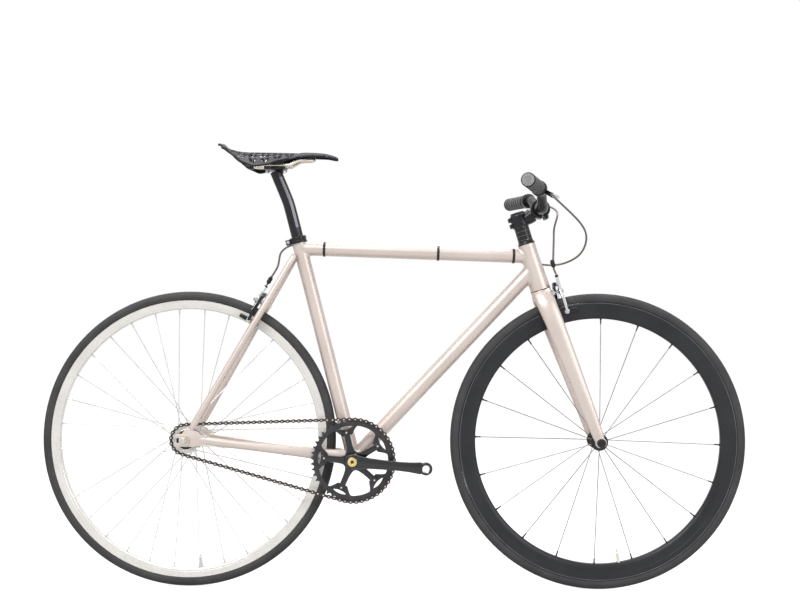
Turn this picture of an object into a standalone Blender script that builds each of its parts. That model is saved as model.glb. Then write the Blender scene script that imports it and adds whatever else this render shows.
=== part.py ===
"""Single-speed bicycle modelled as an assembly of separate parts.

World frame: +X forward, -Y the drive side, +Z up. The origin lies on the ground in the
middle plane, halfway between the two wheel axles. All sizes are in metres.
"""

import math

import bmesh
import bpy
from mathutils import Matrix, Vector

# Wheels
WHEELBASE = 0.9324
TYRE_RADIUS = 0.336
TYRE_WIDTH = 0.025
TYRE_BASE_ANGLE = math.radians(125)
REAR_RIM_DEPTH = 0.0205
REAR_RIM_WIDTH = 0.0196
FRONT_RIM_DEPTH = 0.0375
FRONT_RIM_WIDTH = 0.0246
RIM_TRACK_HEIGHT = 0.0135
WHEEL_STEPS = 48
SPOKE_RADIUS = 0.0010
FRONT_SPOKES = 20
REAR_SPOKES = 32
FRONT_SPOKE_START = math.radians(88.5)
REAR_SPOKE_START = math.radians(95.0)
SPOKE_LACE_ANGLE = math.radians(67.5)
SPOKE_LACE_OFFSET = 0.0017
FRONT_HUB_WIDTH = 0.100
FRONT_FLANGE_RADIUS = 0.0195
FRONT_FLANGE_SPACING = 0.034
FRONT_BARREL_RADIUS = 0.0115
REAR_HUB_WIDTH = 0.120
REAR_FLANGE_RADIUS = 0.0235
REAR_FLANGE_SPACING = 0.029
REAR_BARREL_RADIUS = 0.0145
FLANGE_THICKNESS = 0.0030
SPOKE_HOLE_INSET = 0.0030
FRONT_AXLE_RADIUS = 0.0045
CAM_RADIUS = 0.0075
CAM_WIDTH = 0.0130
REAR_AXLE_RADIUS = 0.0050
AXLE_NUT_FLATS = 0.0150
AXLE_NUT_LENGTH = 0.0110
AXLE_WASHER_RADIUS = 0.0120
AXLE_WASHER_THICKNESS = 0.0030

# Drivetrain
CHAIN_PITCH = 0.0127
CHAIN_PITCHES = 92
RING_TEETH = 46
COG_TEETH = 17
CHAINLINE = 0.0430
SPROCKET_THICKNESS = 0.0027
TOOTH_HEIGHT = 0.0024
TOOTH_SEAT = 0.0048
ROLLER_CLEARANCE = 0.0004
CHAIN_INNER_WIDTH = 0.0033
LINK_PLATE_THICKNESS = 0.0010
LINK_HEIGHT = 0.0084
LINK_END = 0.0041
BOLT_CIRCLE = 0.130
RING_LOOP_RADIUS = 0.0790
RING_TAB_RADIUS = 0.0585
RING_TAB_ANGLE = math.radians(11.0)
RING_BLEND_ANGLE = math.radians(11.0)
RING_SLOT_RADIUS = 0.0765
RING_SLOT_LENGTH = 0.0200
RING_SLOT_WIDTH = 0.0050
SPIDER_ARMS = 5
SPIDER_ARM_WIDTH = 0.0125
SPIDER_HUB_RADIUS = 0.0200
SPIDER_THICKNESS = 0.0060
CRANK_LENGTH = 0.165
CRANK_THICKNESS = 0.0125
CRANK_ANGLE = math.radians(-5.0)
CRANK_BOSS_RADIUS = 0.0175
CRANK_EYE_RADIUS = 0.0145
CRANK_WAIST = 0.0090
PEDAL_HOLE_RADIUS = 0.0071
CRANK_OUTER_FACE = 0.0760
SPINDLE_RADIUS = 0.0085
COG_BORE_RADIUS = 0.0176
COG_BODY_RADIUS = 0.0240
COG_BODY_WIDTH = 0.0120

# Frame
BB_DROP = 0.0445
SHELL_RADIUS = 0.0200
SHELL_WIDTH = 0.0680
SHELL_BORE_RADIUS = 0.0170
CUP_FLANGE_RADIUS = 0.0195
CUP_FLANGE_WIDTH = 0.0030
SEAT_ANGLE = math.radians(75.3)
SEAT_TUBE_LENGTH = 0.5205
SEAT_TUBE_RADIUS = 0.0160
SEAT_TUBE_BORE = 0.0140
HEAD_ANGLE = math.radians(72.9)
HEAD_TUBE_LENGTH = 0.1086
HEAD_TOP_RADIUS = 0.0195
HEAD_BOTTOM_RADIUS = 0.0230
HEAD_BORE_RADIUS = 0.0170
TOP_TUBE_RADIUS = 0.0155
TOP_TUBE_DROP = 0.0235
TOP_TUBE_FRONT = 0.0795
DOWN_TUBE_RADIUS = 0.0170
DOWN_TUBE_FRONT = 0.0518
SEATSTAY_RADIUS = 0.0078
SEATSTAY_FOOT = 0.0300
SEATSTAY_TOP_DROP = 0.0370
SEATSTAY_TOP_BACK = 0.0163
SEATSTAY_TOP_SIDE = 0.0125
SEATSTAY_FOOT_SIDE = 0.0630
CHAINSTAY_REAR_HEIGHT = 0.0180
CHAINSTAY_FRONT_HEIGHT = 0.0320
TRACK_END_THICKNESS = 0.0060
TRACK_END_HEIGHT = 0.0280
TRACK_SLOT_LENGTH = 0.0215
TRACK_TIP_ROUNDING = 0.0050
BRIDGE_RADIUS = 0.0070
BRIDGE_DISTANCE = 0.3520

# Fork and steering
FORK_RAKE = 0.0235
FORK_LENGTH = 0.3670
STEERER_RADIUS = 0.01430
CROWN_HEIGHT = 0.0230
CROWN_RADIUS = 0.0232
BLADE_TOP_CHORD = 0.0440
BLADE_TIP_CHORD = 0.0240
BLADE_TOP_WIDTH = 0.0220
BLADE_TIP_WIDTH = 0.0120
FORK_TIP_RADIUS = 0.0125
BLADE_TOP_SIDE = 0.0350
BEARING_RADIUS = 0.0166
BEARING_HEIGHT = 0.0080
COVER_HEIGHT = 0.0105
SPACER_RADIUS = 0.0170
SPACER_HEIGHT = 0.0100
SPACER_COUNT = 3
SPACER_GROOVE = 0.0008
STEM_CLAMP_RADIUS = 0.0200
STEM_CLAMP_HEIGHT = 0.0300
STEM_REACH = 0.0524
STEM_RISE = 0.0120
BAR_CLAMP_RADIUS = 0.0159
BAR_RADIUS = 0.0111
BAR_HALF_WIDTH = 0.2540
BAR_SWEEP = 0.0496
BAR_RISE = 0.0371
FACEPLATE_THICKNESS = 0.0060
FACEPLATE_WIDTH = 0.0400
GRIP_RADIUS = 0.0158
GRIP_LENGTH = 0.1150
GRIP_RIBS = 4
TOP_CAP_HEIGHT = 0.0050
CAP_RIM = 0.0022

# Seat
SEATPOST_RADIUS = 0.01355
SEATPOST_INSERT = 0.1000
SEATPOST_BEND_HEIGHT = 0.0850
SEATPOST_TOP_HEIGHT = 0.1625
SEATPOST_SETBACK = 0.0115
COLLAR_RADIUS = 0.0195
COLLAR_HEIGHT = 0.0150
SADDLE_LENGTH = 0.2690
SADDLE_WIDTH = 0.1300
SADDLE_THICKNESS = 0.0040
SADDLE_ABOVE_RAILS = 0.0258
SADDLE_TAIL_REACH = 0.1274
SADDLE_NOSE_DROP = 0.0120
SADDLE_COLUMNS = 8
RAIL_RADIUS = 0.0035
RAIL_SPACING = 0.0440
CLAMP_LENGTH = 0.0480

# Brakes and cables
CABLE_RADIUS = 0.0023
PAD_GAP = 0.0021
PAD_LENGTH = 0.0480
PAD_HEIGHT = 0.0095
PAD_THICKNESS = 0.0085
CALIPER_REACH = 0.0490
CALIPER_ARM_DEPTH = 0.0065
CALIPER_BOLT_RADIUS = 0.0030
CALIPER_PIVOT_SIDE = 0.0200
CALIPER_PIVOT_RISE = 0.0020
ANCHOR_OUT = 0.0183
ANCHOR_SIDE = 0.0240
ANCHOR_RISE = 0.0385
LEVER_PIVOT_FORWARD = 0.0300
LEVER_BLADE_LENGTH = 0.0950
LEVER_EXIT_FORWARD = 0.0270
LEVER_EXIT_END = 0.0290
LOOP_FORWARD = 0.1313
LOOP_SIDE = 0.0400
CLIP_SHARES = {"rear": 0.105, "middle": 0.600, "front": 0.927}
TOP_CABLE_END = 0.940

# Fits
GAP = 0.0003
RUNNING_GAP = 0.0006
CABLE_END_GAP = 0.0009

# Facets
ROUND = 16
COARSE = 12
SMALL = 8
HEAD_TUBE_SIDES = 16
SEAT_TUBE_SIDES = 16
COG_BORE_SIDES = 16
BAR_CLAMP_SIDES = 24
RING_INNER_POINTS = 8
CABLE_STEPS = 3

RIGHT = -1
LEFT = 1
SIDE_NAMES = {RIGHT: "right", LEFT: "left"}

X_AXIS = Vector((1, 0, 0))
Y_AXIS = Vector((0, 1, 0))
Z_AXIS = Vector((0, 0, 1))


def sprocket_radius(teeth):
    """Pitch radius of a sprocket."""
    return CHAIN_PITCH / (2 * math.sin(math.pi / teeth))


def chain_wrap(distance):
    """Pitches seated on half the chainring and on half the cog."""
    ring = sprocket_radius(RING_TEETH)
    cog = sprocket_radius(COG_TEETH)
    tangent = math.pi / 2 + math.asin((ring - cog) / distance)
    on_ring = math.floor(tangent * RING_TEETH / (2 * math.pi) + 0.5)
    on_cog = math.floor((math.pi - tangent) * COG_TEETH / (2 * math.pi) + 0.5)
    return on_ring, on_cog


def chain_distance():
    """Distance between the two sprocket axles at which the chain closes exactly."""
    ring = sprocket_radius(RING_TEETH)
    cog = sprocket_radius(COG_TEETH)
    distance = CHAIN_PITCH * (CHAIN_PITCHES - (RING_TEETH + COG_TEETH) / 2) / 2
    for _ in range(6):
        on_ring, on_cog = chain_wrap(distance)
        run = (CHAIN_PITCHES / 2 - on_ring - on_cog) * CHAIN_PITCH
        ring_angle = on_ring * 2 * math.pi / RING_TEETH
        cog_angle = math.pi - on_cog * 2 * math.pi / COG_TEETH
        rise = ring * math.sin(ring_angle) - cog * math.sin(cog_angle)
        reach = math.sqrt(run ** 2 - rise ** 2)
        distance = reach - ring * math.cos(ring_angle) + cog * math.cos(cog_angle)
    return distance


# Points that the driving dimensions fix
CHAIN_DISTANCE = chain_distance()
AXLE_Z = TYRE_RADIUS
REAR_AXLE = Vector((-WHEELBASE / 2, 0, AXLE_Z))
FRONT_AXLE = Vector((WHEELBASE / 2, 0, AXLE_Z))
BB = REAR_AXLE + Vector((math.sqrt(CHAIN_DISTANCE ** 2 - BB_DROP ** 2), 0, -BB_DROP))
SEAT_UP = Vector((-math.cos(SEAT_ANGLE), 0, math.sin(SEAT_ANGLE)))
SEAT_BACK = Vector((-math.sin(SEAT_ANGLE), 0, -math.cos(SEAT_ANGLE)))
STEER_UP = Vector((-math.cos(HEAD_ANGLE), 0, math.sin(HEAD_ANGLE)))
STEER_FORWARD = Vector((math.sin(HEAD_ANGLE), 0, math.cos(HEAD_ANGLE)))
STEER_FOOT = FRONT_AXLE - FORK_RAKE * STEER_FORWARD


def steer(up, forward=0.0, side=0.0):
    """Point in the steering frame, above the foot of the rake on the steering axis."""
    return STEER_FOOT + up * STEER_UP + forward * STEER_FORWARD + side * Y_AXIS


def seat(up, back=0.0, side=0.0):
    """Point along the seat tube's axis, counted from the bottom bracket."""
    return BB + up * SEAT_UP + back * SEAT_BACK + side * Y_AXIS


TOP_TUBE_REAR = SEAT_TUBE_LENGTH - TOP_TUBE_DROP
SEATSTAY_TOP = seat(SEAT_TUBE_LENGTH - SEATSTAY_TOP_DROP, SEATSTAY_TOP_BACK)
STAY_UP = (SEATSTAY_TOP - REAR_AXLE).normalized()
STAY_BACK = Vector((-STAY_UP.z, 0, STAY_UP.x))
HEAD_BOTTOM = FORK_LENGTH
HEAD_TOP = HEAD_BOTTOM + HEAD_TUBE_LENGTH
COVER_BOTTOM = HEAD_TOP + GAP
SPACERS_BOTTOM = COVER_BOTTOM + COVER_HEIGHT + GAP
STEM_BOTTOM = SPACERS_BOTTOM + SPACER_COUNT * SPACER_HEIGHT + GAP
STEM_TOP = STEM_BOTTOM + STEM_CLAMP_HEIGHT
STEM_MIDDLE = (STEM_BOTTOM + STEM_TOP) / 2
BAR_CENTRE = steer(STEM_MIDDLE + STEM_RISE, STEM_REACH)
CALIPER_PIVOT = Vector((0.0, CALIPER_PIVOT_SIDE, CALIPER_PIVOT_RISE))


def clear_scene():
    for item in list(bpy.data.objects):
        bpy.data.objects.remove(item, do_unlink=True)


def new_collection(name):
    group = bpy.data.collections.new(name)
    bpy.context.scene.collection.children.link(group)
    return group


def finish(name, colour, roughness, metallic):
    """Principled material of one part."""
    material = bpy.data.materials.new(name)
    material.use_nodes = True
    shader = material.node_tree.nodes["Principled BSDF"]
    shader.inputs["Base Color"].default_value = (*colour, 1.0)
    shader.inputs["Roughness"].default_value = roughness
    shader.inputs["Metallic"].default_value = metallic
    return material


# Finishes: colour, roughness, metallic
RAW_METAL = ((0.62, 0.56, 0.50), 0.32, 0.9)
BLACK_METAL = ((0.02, 0.02, 0.022), 0.35, 0.6)
SILVER = ((0.72, 0.72, 0.74), 0.22, 1.0)
GUNMETAL = ((0.10, 0.10, 0.11), 0.35, 0.9)
BRONZE = ((0.16, 0.12, 0.09), 0.42, 0.9)
CARBON = ((0.012, 0.012, 0.014), 0.28, 0.1)
RUBBER = ((0.018, 0.018, 0.018), 0.75, 0.0)
GRIP_RUBBER = ((0.05, 0.05, 0.055), 0.8, 0.0)
HOUSING = ((0.20, 0.16, 0.15), 0.45, 0.0)
PLASTIC = ((0.02, 0.02, 0.02), 0.45, 0.0)
PALE_RAIL = ((0.80, 0.76, 0.68), 0.3, 0.8)


def frame_at(origin, z_axis, x_hint=X_AXIS):
    """Matrix with its Z along z_axis and its X as near x_hint as that allows."""
    z = z_axis.normalized()
    y = z.cross(x_hint).normalized()
    x = y.cross(z)
    matrix = Matrix((x, y, z)).transposed().to_4x4()
    matrix.translation = origin
    return matrix


def side_frame(origin):
    """Matrix that lays an outline drawn in X and Y into the bicycle's side plane.

    The outline's X stays X, its Y becomes Z, and its normal points to the drive side.
    """
    return frame_at(origin, -Y_AXIS)


def add_object(name, data, matrix):
    item = bpy.data.objects.new(name, data)
    PARTS.objects.link(item)
    item.matrix_world = matrix
    return item


def add_bmesh(name, bm, matrix=Matrix.Identity(4)):
    bmesh.ops.recalc_face_normals(bm, faces=bm.faces)
    mesh = bpy.data.meshes.new(name)
    bm.to_mesh(mesh)
    bm.free()
    return add_object(name, mesh, matrix)


def rod(name, start, end, radius, end_radius=None, sides=ROUND, x_hint=X_AXIS):
    """Solid cylinder or cone between two points."""
    length = (end - start).length
    bm = bmesh.new()
    bmesh.ops.create_cone(
        bm,
        cap_ends=True,
        segments=sides,
        radius1=radius,
        radius2=radius if end_radius is None else end_radius,
        depth=length,
    )
    bmesh.ops.translate(bm, verts=bm.verts, vec=(0, 0, length / 2))
    hint = Y_AXIS if abs((end - start).normalized().dot(x_hint)) > 0.99 else x_hint
    return add_bmesh(name, bm, frame_at(start, end - start, hint))


def block(name, size, matrix):
    """Box centred on its matrix."""
    bm = bmesh.new()
    bmesh.ops.create_cube(bm, size=1.0)
    bmesh.ops.scale(bm, verts=bm.verts, vec=size)
    return add_bmesh(name, bm, matrix)


def bake(item):
    """Replace an object's data by its evaluated and welded mesh."""
    bpy.context.view_layer.update()
    graph = bpy.context.evaluated_depsgraph_get()
    mesh = bpy.data.meshes.new_from_object(item.evaluated_get(graph), depsgraph=graph)
    bm = bmesh.new()
    bm.from_mesh(mesh)
    bmesh.ops.remove_doubles(bm, verts=bm.verts, dist=0.000001)
    matrix = item.matrix_world.copy()
    name = item.name
    bpy.data.objects.remove(item, do_unlink=True)
    bpy.data.meshes.remove(mesh)
    return add_bmesh(name, bm, matrix)


def turned(name, profile, matrix, steps=ROUND, closed=False):
    """Turned solid from (radius, height) points that run down its outer side."""
    mesh = bpy.data.meshes.new(name)
    points = [(radius, 0, height) for radius, height in profile]
    edges = [(i, i + 1) for i in range(len(points) - 1)]
    if closed:
        edges.append((len(points) - 1, 0))
    mesh.from_pydata(points, edges, [])
    item = add_object(name, mesh, matrix)
    screw = item.modifiers.new("turn", "SCREW")
    screw.axis = "Z"
    screw.steps = steps
    screw.render_steps = steps
    screw.use_merge_vertices = True
    screw.merge_threshold = 0.00001
    return bake(item)


def plate(name, outlines, thickness, matrix):
    """Flat plate from closed outlines, the first one outside and the others holes."""
    curve = bpy.data.curves.new(name, "CURVE")
    curve.dimensions = "2D"
    curve.fill_mode = "BOTH"
    curve.extrude = thickness / 2
    for outline in outlines:
        spline = curve.splines.new("POLY")
        spline.points.add(len(outline) - 1)
        for point, (x, y) in zip(spline.points, outline):
            point.co = (x, y, 0, 1)
        spline.use_cyclic_u = True
    return bake(add_object(name, curve, matrix))


def wire(name, points, radius, resolution=2, radii=None):
    """Round wire or tube through points, with capped ends."""
    curve = bpy.data.curves.new(name, "CURVE")
    curve.dimensions = "3D"
    curve.bevel_depth = radius
    curve.bevel_resolution = resolution
    curve.use_fill_caps = True
    spline = curve.splines.new("POLY")
    spline.points.add(len(points) - 1)
    for index, (point, place) in enumerate(zip(spline.points, points)):
        point.co = (*place, 1)
        if radii:
            point.radius = radii[index] / radius
    return bake(add_object(name, curve, Matrix.Identity(4)))


def loft(name, sections):
    """Closed solid through sections that hold the same number of points."""
    bm = bmesh.new()
    rings = [[bm.verts.new(point) for point in section] for section in sections]
    count = len(sections[0])
    for lower, upper in zip(rings, rings[1:]):
        for i in range(count):
            bm.faces.new((lower[i], lower[(i + 1) % count], upper[(i + 1) % count], upper[i]))
    bm.faces.new(rings[0])
    bm.faces.new(rings[-1])
    return add_bmesh(name, bm)


def oval(centre, across, half_across, along, half_along, sides=COARSE):
    """Oval section round a centre, spanned by two directions."""
    angles = [2 * math.pi * i / sides for i in range(sides)]
    return [
        centre + across * half_across * math.cos(a) + along * half_along * math.sin(a)
        for a in angles
    ]


def smooth_path(points, per_span):
    """Catmull-Rom curve through points, read at even steps of each span."""
    ends = [2 * points[0] - points[1], *points, 2 * points[-1] - points[-2]]
    path = []
    for i in range(1, len(ends) - 2):
        a, b, c, d = ends[i - 1], ends[i], ends[i + 1], ends[i + 2]
        for step in range(per_span):
            t = step / per_span
            path.append(
                0.5 * (2 * b + (c - a) * t + (2 * a - 5 * b + 4 * c - d) * t ** 2
                       + (3 * b - a - 3 * c + d) * t ** 3)
            )
    path.append(points[-1].copy())
    return path


def strip_outline(path, half_widths):
    """Outline of a flat strip along a 2D path with its own half width at each point."""
    left = []
    right = []
    for i, (x, y) in enumerate(path):
        before = path[max(i - 1, 0)]
        after = path[min(i + 1, len(path) - 1)]
        dx = after[0] - before[0]
        dy = after[1] - before[1]
        size = math.hypot(dx, dy)
        nx = -dy / size * half_widths[i]
        ny = dx / size * half_widths[i]
        left.append((x + nx, y + ny))
        right.append((x - nx, y - ny))
    return left + right[::-1]


def arc_points(centre, radius, start, stop, count):
    """Points along an arc in a 2D outline."""
    return [
        (
            centre[0] + radius * math.cos(start + (stop - start) * i / (count - 1)),
            centre[1] + radius * math.sin(start + (stop - start) * i / (count - 1)),
        )
        for i in range(count)
    ]


def as_helper(item):
    """Move a cutter or an added shape out of the parts."""
    PARTS.objects.unlink(item)
    HELPERS.objects.link(item)
    item.hide_render = True
    item.display_type = "WIRE"
    return item


def combine(item, other, operation):
    modifier = item.modifiers.new(operation.lower(), "BOOLEAN")
    modifier.operation = operation
    modifier.solver = "EXACT"
    modifier.object = as_helper(other)
    return item


def cut(item, cutter):
    return combine(item, cutter, "DIFFERENCE")


def fuse(item, addition):
    return combine(item, addition, "UNION")


def complete(item, surface, pivot=None, holder=None):
    """Give a part its finish, its origin and its parent."""
    colour, roughness, metallic = surface
    material = finish(item.name, colour, roughness, metallic)
    item.data.materials.clear()
    item.data.materials.append(material)
    bpy.context.view_layer.update()
    if pivot is not None:
        shift = item.matrix_world.inverted() @ pivot
        item.data.transform(Matrix.Translation(-shift))
        item.matrix_world = item.matrix_world @ Matrix.Translation(shift)
    if not any(m.type == "BOOLEAN" for m in item.modifiers):
        item.data.shade_smooth()
    if holder is not None:
        bpy.context.view_layer.update()
        world = item.matrix_world.copy()
        item.parent = holder
        item.matrix_parent_inverse = holder.matrix_world.inverted()
        item.matrix_world = world
    return item


def pivot_empty(name, place, z_axis=Z_AXIS, holder=None):
    """Empty on a joint's axis."""
    item = bpy.data.objects.new(name, None)
    PARTS.objects.link(item)
    item.empty_display_size = 0.03
    item.matrix_world = frame_at(place, z_axis)
    bpy.context.view_layer.update()
    if holder is not None:
        world = item.matrix_world.copy()
        item.parent = holder
        item.matrix_parent_inverse = holder.matrix_world.inverted()
        item.matrix_world = world
        bpy.context.view_layer.update()
    return item


# Frame tubes

def head_tube_shape(margin):
    """Outer profile of the head tube, enlarged by a margin."""
    return [
        (HEAD_TOP_RADIUS + margin, HEAD_TUBE_LENGTH),
        (HEAD_TOP_RADIUS + margin, HEAD_TUBE_LENGTH * 0.75),
        (HEAD_BOTTOM_RADIUS + margin, HEAD_TUBE_LENGTH * 0.12),
        (HEAD_BOTTOM_RADIUS + margin, 0),
    ]


def head_tube_cutter(name):
    shape = [(0, HEAD_TUBE_LENGTH), *head_tube_shape(GAP), (0, 0)]
    return turned(name, shape, frame_at(steer(HEAD_BOTTOM), STEER_UP), HEAD_TUBE_SIDES)


def seat_tube_cutter(name):
    return rod(name, seat(0.0), seat(SEAT_TUBE_LENGTH + 0.03), SEAT_TUBE_RADIUS + GAP,
               sides=SEAT_TUBE_SIDES)


def shell_cutter(name):
    half = SHELL_WIDTH / 2 + 0.02
    return rod(name, BB - half * Y_AXIS, BB + half * Y_AXIS, SHELL_RADIUS + GAP)


def make_head_tube():
    seat_depth = BEARING_HEIGHT + GAP
    bore = STEERER_RADIUS + 2 * RUNNING_GAP
    outline = [
        (HEAD_BORE_RADIUS, HEAD_TUBE_LENGTH),
        *head_tube_shape(0),
        (HEAD_BORE_RADIUS, 0),
        (HEAD_BORE_RADIUS, seat_depth),
        (bore, seat_depth + GAP),
        (bore, HEAD_TUBE_LENGTH - seat_depth - GAP),
        (HEAD_BORE_RADIUS, HEAD_TUBE_LENGTH - seat_depth),
    ]
    tube = turned("head_tube", outline, frame_at(steer(HEAD_BOTTOM), STEER_UP), HEAD_TUBE_SIDES,
                  closed=True)
    complete(tube, RAW_METAL)


def make_top_tube():
    rear = seat(TOP_TUBE_REAR)
    front = steer(HEAD_BOTTOM + TOP_TUBE_FRONT)
    tube = rod("top_tube", rear, front, TOP_TUBE_RADIUS)
    cut(tube, head_tube_cutter("top_tube_front_mitre"))
    cut(tube, seat_tube_cutter("top_tube_rear_mitre"))
    complete(tube, RAW_METAL)


def make_down_tube():
    front = steer(HEAD_BOTTOM + DOWN_TUBE_FRONT)
    tube = rod("down_tube", BB.copy(), front, DOWN_TUBE_RADIUS)
    cut(tube, head_tube_cutter("down_tube_head_mitre"))
    cut(tube, shell_cutter("down_tube_shell_mitre"))
    cut(tube, seat_tube_cutter("down_tube_foot_mitre"))
    rear = seat(TOP_TUBE_REAR)
    top = steer(HEAD_BOTTOM + TOP_TUBE_FRONT)
    cut(tube, rod("down_tube_top_mitre", rear, top, TOP_TUBE_RADIUS + GAP))
    complete(tube, RAW_METAL)


def make_seat_tube():
    tube = rod("seat_tube", seat(0.0), seat(SEAT_TUBE_LENGTH), SEAT_TUBE_RADIUS,
               sides=SEAT_TUBE_SIDES)
    cut(tube, shell_cutter("seat_tube_shell_mitre"))
    bore = rod("seat_tube_bore", seat(SHELL_RADIUS * 0.5), seat(SEAT_TUBE_LENGTH + 0.01),
               SEAT_TUBE_BORE)
    cut(tube, bore)
    complete(tube, RAW_METAL)


def make_shell():
    half = SHELL_WIDTH / 2
    outline = [
        (SHELL_RADIUS, half),
        (SHELL_RADIUS, -half),
        (SHELL_BORE_RADIUS, -half),
        (SHELL_BORE_RADIUS, half),
    ]
    shell = turned("bottom_bracket_shell", outline, frame_at(BB, -Y_AXIS), closed=True)
    complete(shell, RAW_METAL)


def seatstay_line(side):
    """Foot and top of a seatstay's axis."""
    foot = REAR_AXLE + STAY_UP * (SEATSTAY_FOOT + GAP) + side * SEATSTAY_FOOT_SIDE * Y_AXIS
    top = SEATSTAY_TOP + side * SEATSTAY_TOP_SIDE * Y_AXIS
    return foot, top


def make_seatstay(side):
    name = f"seatstay_{SIDE_NAMES[side]}"
    foot, top = seatstay_line(side)
    along = (top - foot).normalized()
    shoulder = foot + along * 0.020
    path = [foot, shoulder, top]
    radii = [SEATSTAY_RADIUS * 0.8, SEATSTAY_RADIUS, SEATSTAY_RADIUS]
    stay = wire(name, path, SEATSTAY_RADIUS, 4, radii)
    cut(stay, seat_tube_cutter(f"{name}_mitre"))
    foot_plane = frame_at(REAR_AXLE + STAY_UP * (SEATSTAY_FOOT + GAP - 0.01), STAY_UP, Y_AXIS)
    cut(stay, block(f"{name}_foot_cut", (0.2, 0.05, 0.02), foot_plane))
    middle_plane = Matrix.Translation(top + Vector((0, -side * (0.02 + SEATSTAY_TOP_SIDE - GAP), 0)))
    cut(stay, block(f"{name}_middle_cut", (0.1, 0.04, 0.1), middle_plane))
    complete(stay, RAW_METAL)


def track_end_outline():
    """Track end seen from the drive side, round the axle, with its slot open to the rear."""
    half = TRACK_END_HEIGHT / 2
    slot = REAR_AXLE_RADIUS + GAP
    edge_left = STAY_UP * SEATSTAY_FOOT - STAY_BACK * -0.010
    edge_right = STAY_UP * SEATSTAY_FOOT - STAY_BACK * 0.010
    rounding = TRACK_TIP_ROUNDING
    outline = [
        (-TRACK_SLOT_LENGTH, half - rounding),
        (rounding - TRACK_SLOT_LENGTH, half),
        (-0.006, half + 0.001),
        (edge_left.x, edge_left.z),
        (edge_right.x, edge_right.z),
        (0.034, 0.016),
        (0.050, 0.0095),
        (0.050, -0.0095),
        (0.020, -half),
        (rounding - TRACK_SLOT_LENGTH, -half),
        (-TRACK_SLOT_LENGTH, rounding - half),
        (-TRACK_SLOT_LENGTH, -slot),
    ]
    outline += arc_points((0, 0), slot, -math.pi / 2, math.pi / 2, 7)
    outline.append((-TRACK_SLOT_LENGTH, slot))
    return outline


def chainstay_sections(side):
    """Oval sections of a chainstay, from the track end to the bottom bracket shell."""
    start = REAR_AXLE + Vector((0.040, 0, 0.0))
    end = BB + Vector((-0.004, 0, 0.004))
    stations = (
        (0.00, 0.0632, 0.0045, 1.00),
        (0.10, 0.0600, 0.0065, 1.00),
        (0.35, 0.0505, 0.0088, 1.05),
        (0.60, 0.0385, 0.0085, 1.20),
        (0.76, 0.0315, 0.0070, 1.40),
        (0.90, 0.0285, 0.0080, 1.70),
        (1.00, 0.0255, 0.0090, CHAINSTAY_FRONT_HEIGHT / CHAINSTAY_REAR_HEIGHT),
    )
    sections = []
    for share, y, half_width, growth in stations:
        centre = start.lerp(end, share)
        centre.y = side * y
        half_height = CHAINSTAY_REAR_HEIGHT / 2 * growth
        sections.append(oval(centre, Y_AXIS, half_width, Z_AXIS, half_height))
    return sections


def make_chainstay(side):
    name = f"chainstay_{SIDE_NAMES[side]}"
    stay = loft(name, chainstay_sections(side))
    cut(stay, shell_cutter(f"{name}_mitre"))
    inner = REAR_HUB_WIDTH / 2 + GAP
    place = REAR_AXLE + side * (inner + TRACK_END_THICKNESS / 2) * Y_AXIS
    fuse(stay, plate(f"{name}_track_end", [track_end_outline()], TRACK_END_THICKNESS,
                     side_frame(place)))
    complete(stay, RAW_METAL)


def bridge_centre():
    """Middle of the brake bridge, on the stays' plane and clear of the tyre."""
    foot, top = seatstay_line(LEFT)
    low = 0.0
    high = 1.0
    for _ in range(40):
        middle = (low + high) / 2
        point = foot.lerp(top, middle)
        point.y = 0
        if (point - REAR_AXLE).length < BRIDGE_DISTANCE:
            low = middle
        else:
            high = middle
    return point


def make_bridge():
    centre = bridge_centre()
    half = 0.040
    bridge = rod("brake_bridge", centre - half * Y_AXIS, centre + half * Y_AXIS, BRIDGE_RADIUS,
                 sides=COARSE)
    for side in (RIGHT, LEFT):
        foot, top = seatstay_line(side)
        stay = rod(f"bridge_mitre_{SIDE_NAMES[side]}", foot, top, SEATSTAY_RADIUS + GAP)
        cut(bridge, stay)
        inner_face = abs(foot.lerp(top, 0.7).y)
        outer = Matrix.Translation(centre + Vector((0, side * (inner_face + 0.02), 0)))
        cut(bridge, block(f"bridge_end_{SIDE_NAMES[side]}", (0.05, 0.04, 0.05), outer))
    complete(bridge, RAW_METAL)


# Bottom bracket, cranks, chain

def make_bottom_bracket_unit():
    half = SHELL_WIDTH / 2
    sleeve = SHELL_BORE_RADIUS - GAP
    bore = SPINDLE_RADIUS + RUNNING_GAP
    flange = half + GAP
    outline = [
        (sleeve, half),
        (sleeve, -flange),
        (CUP_FLANGE_RADIUS, -flange),
        (CUP_FLANGE_RADIUS, -flange - CUP_FLANGE_WIDTH),
        (bore, -flange - CUP_FLANGE_WIDTH),
        (bore, half + CUP_FLANGE_WIDTH),
        (sleeve, half + CUP_FLANGE_WIDTH),
    ]
    unit = turned("bottom_bracket_unit", outline, frame_at(BB, Y_AXIS), closed=True)
    complete(unit, BLACK_METAL)


def crank_direction(angle):
    return Vector((math.cos(angle), 0, math.sin(angle)))


def ring_inner_radius(angle):
    """Inner edge of the chainring: loops between the arms and tabs at the arms."""
    step = 2 * math.pi / SPIDER_ARMS
    offset = abs((angle + step / 2) % step - step / 2)
    share = min(max((offset - RING_TAB_ANGLE) / RING_BLEND_ANGLE, 0), 1)
    share = share * share * (3 - 2 * share)
    return RING_TAB_RADIUS + (RING_LOOP_RADIUS - RING_TAB_RADIUS) * share


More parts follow.
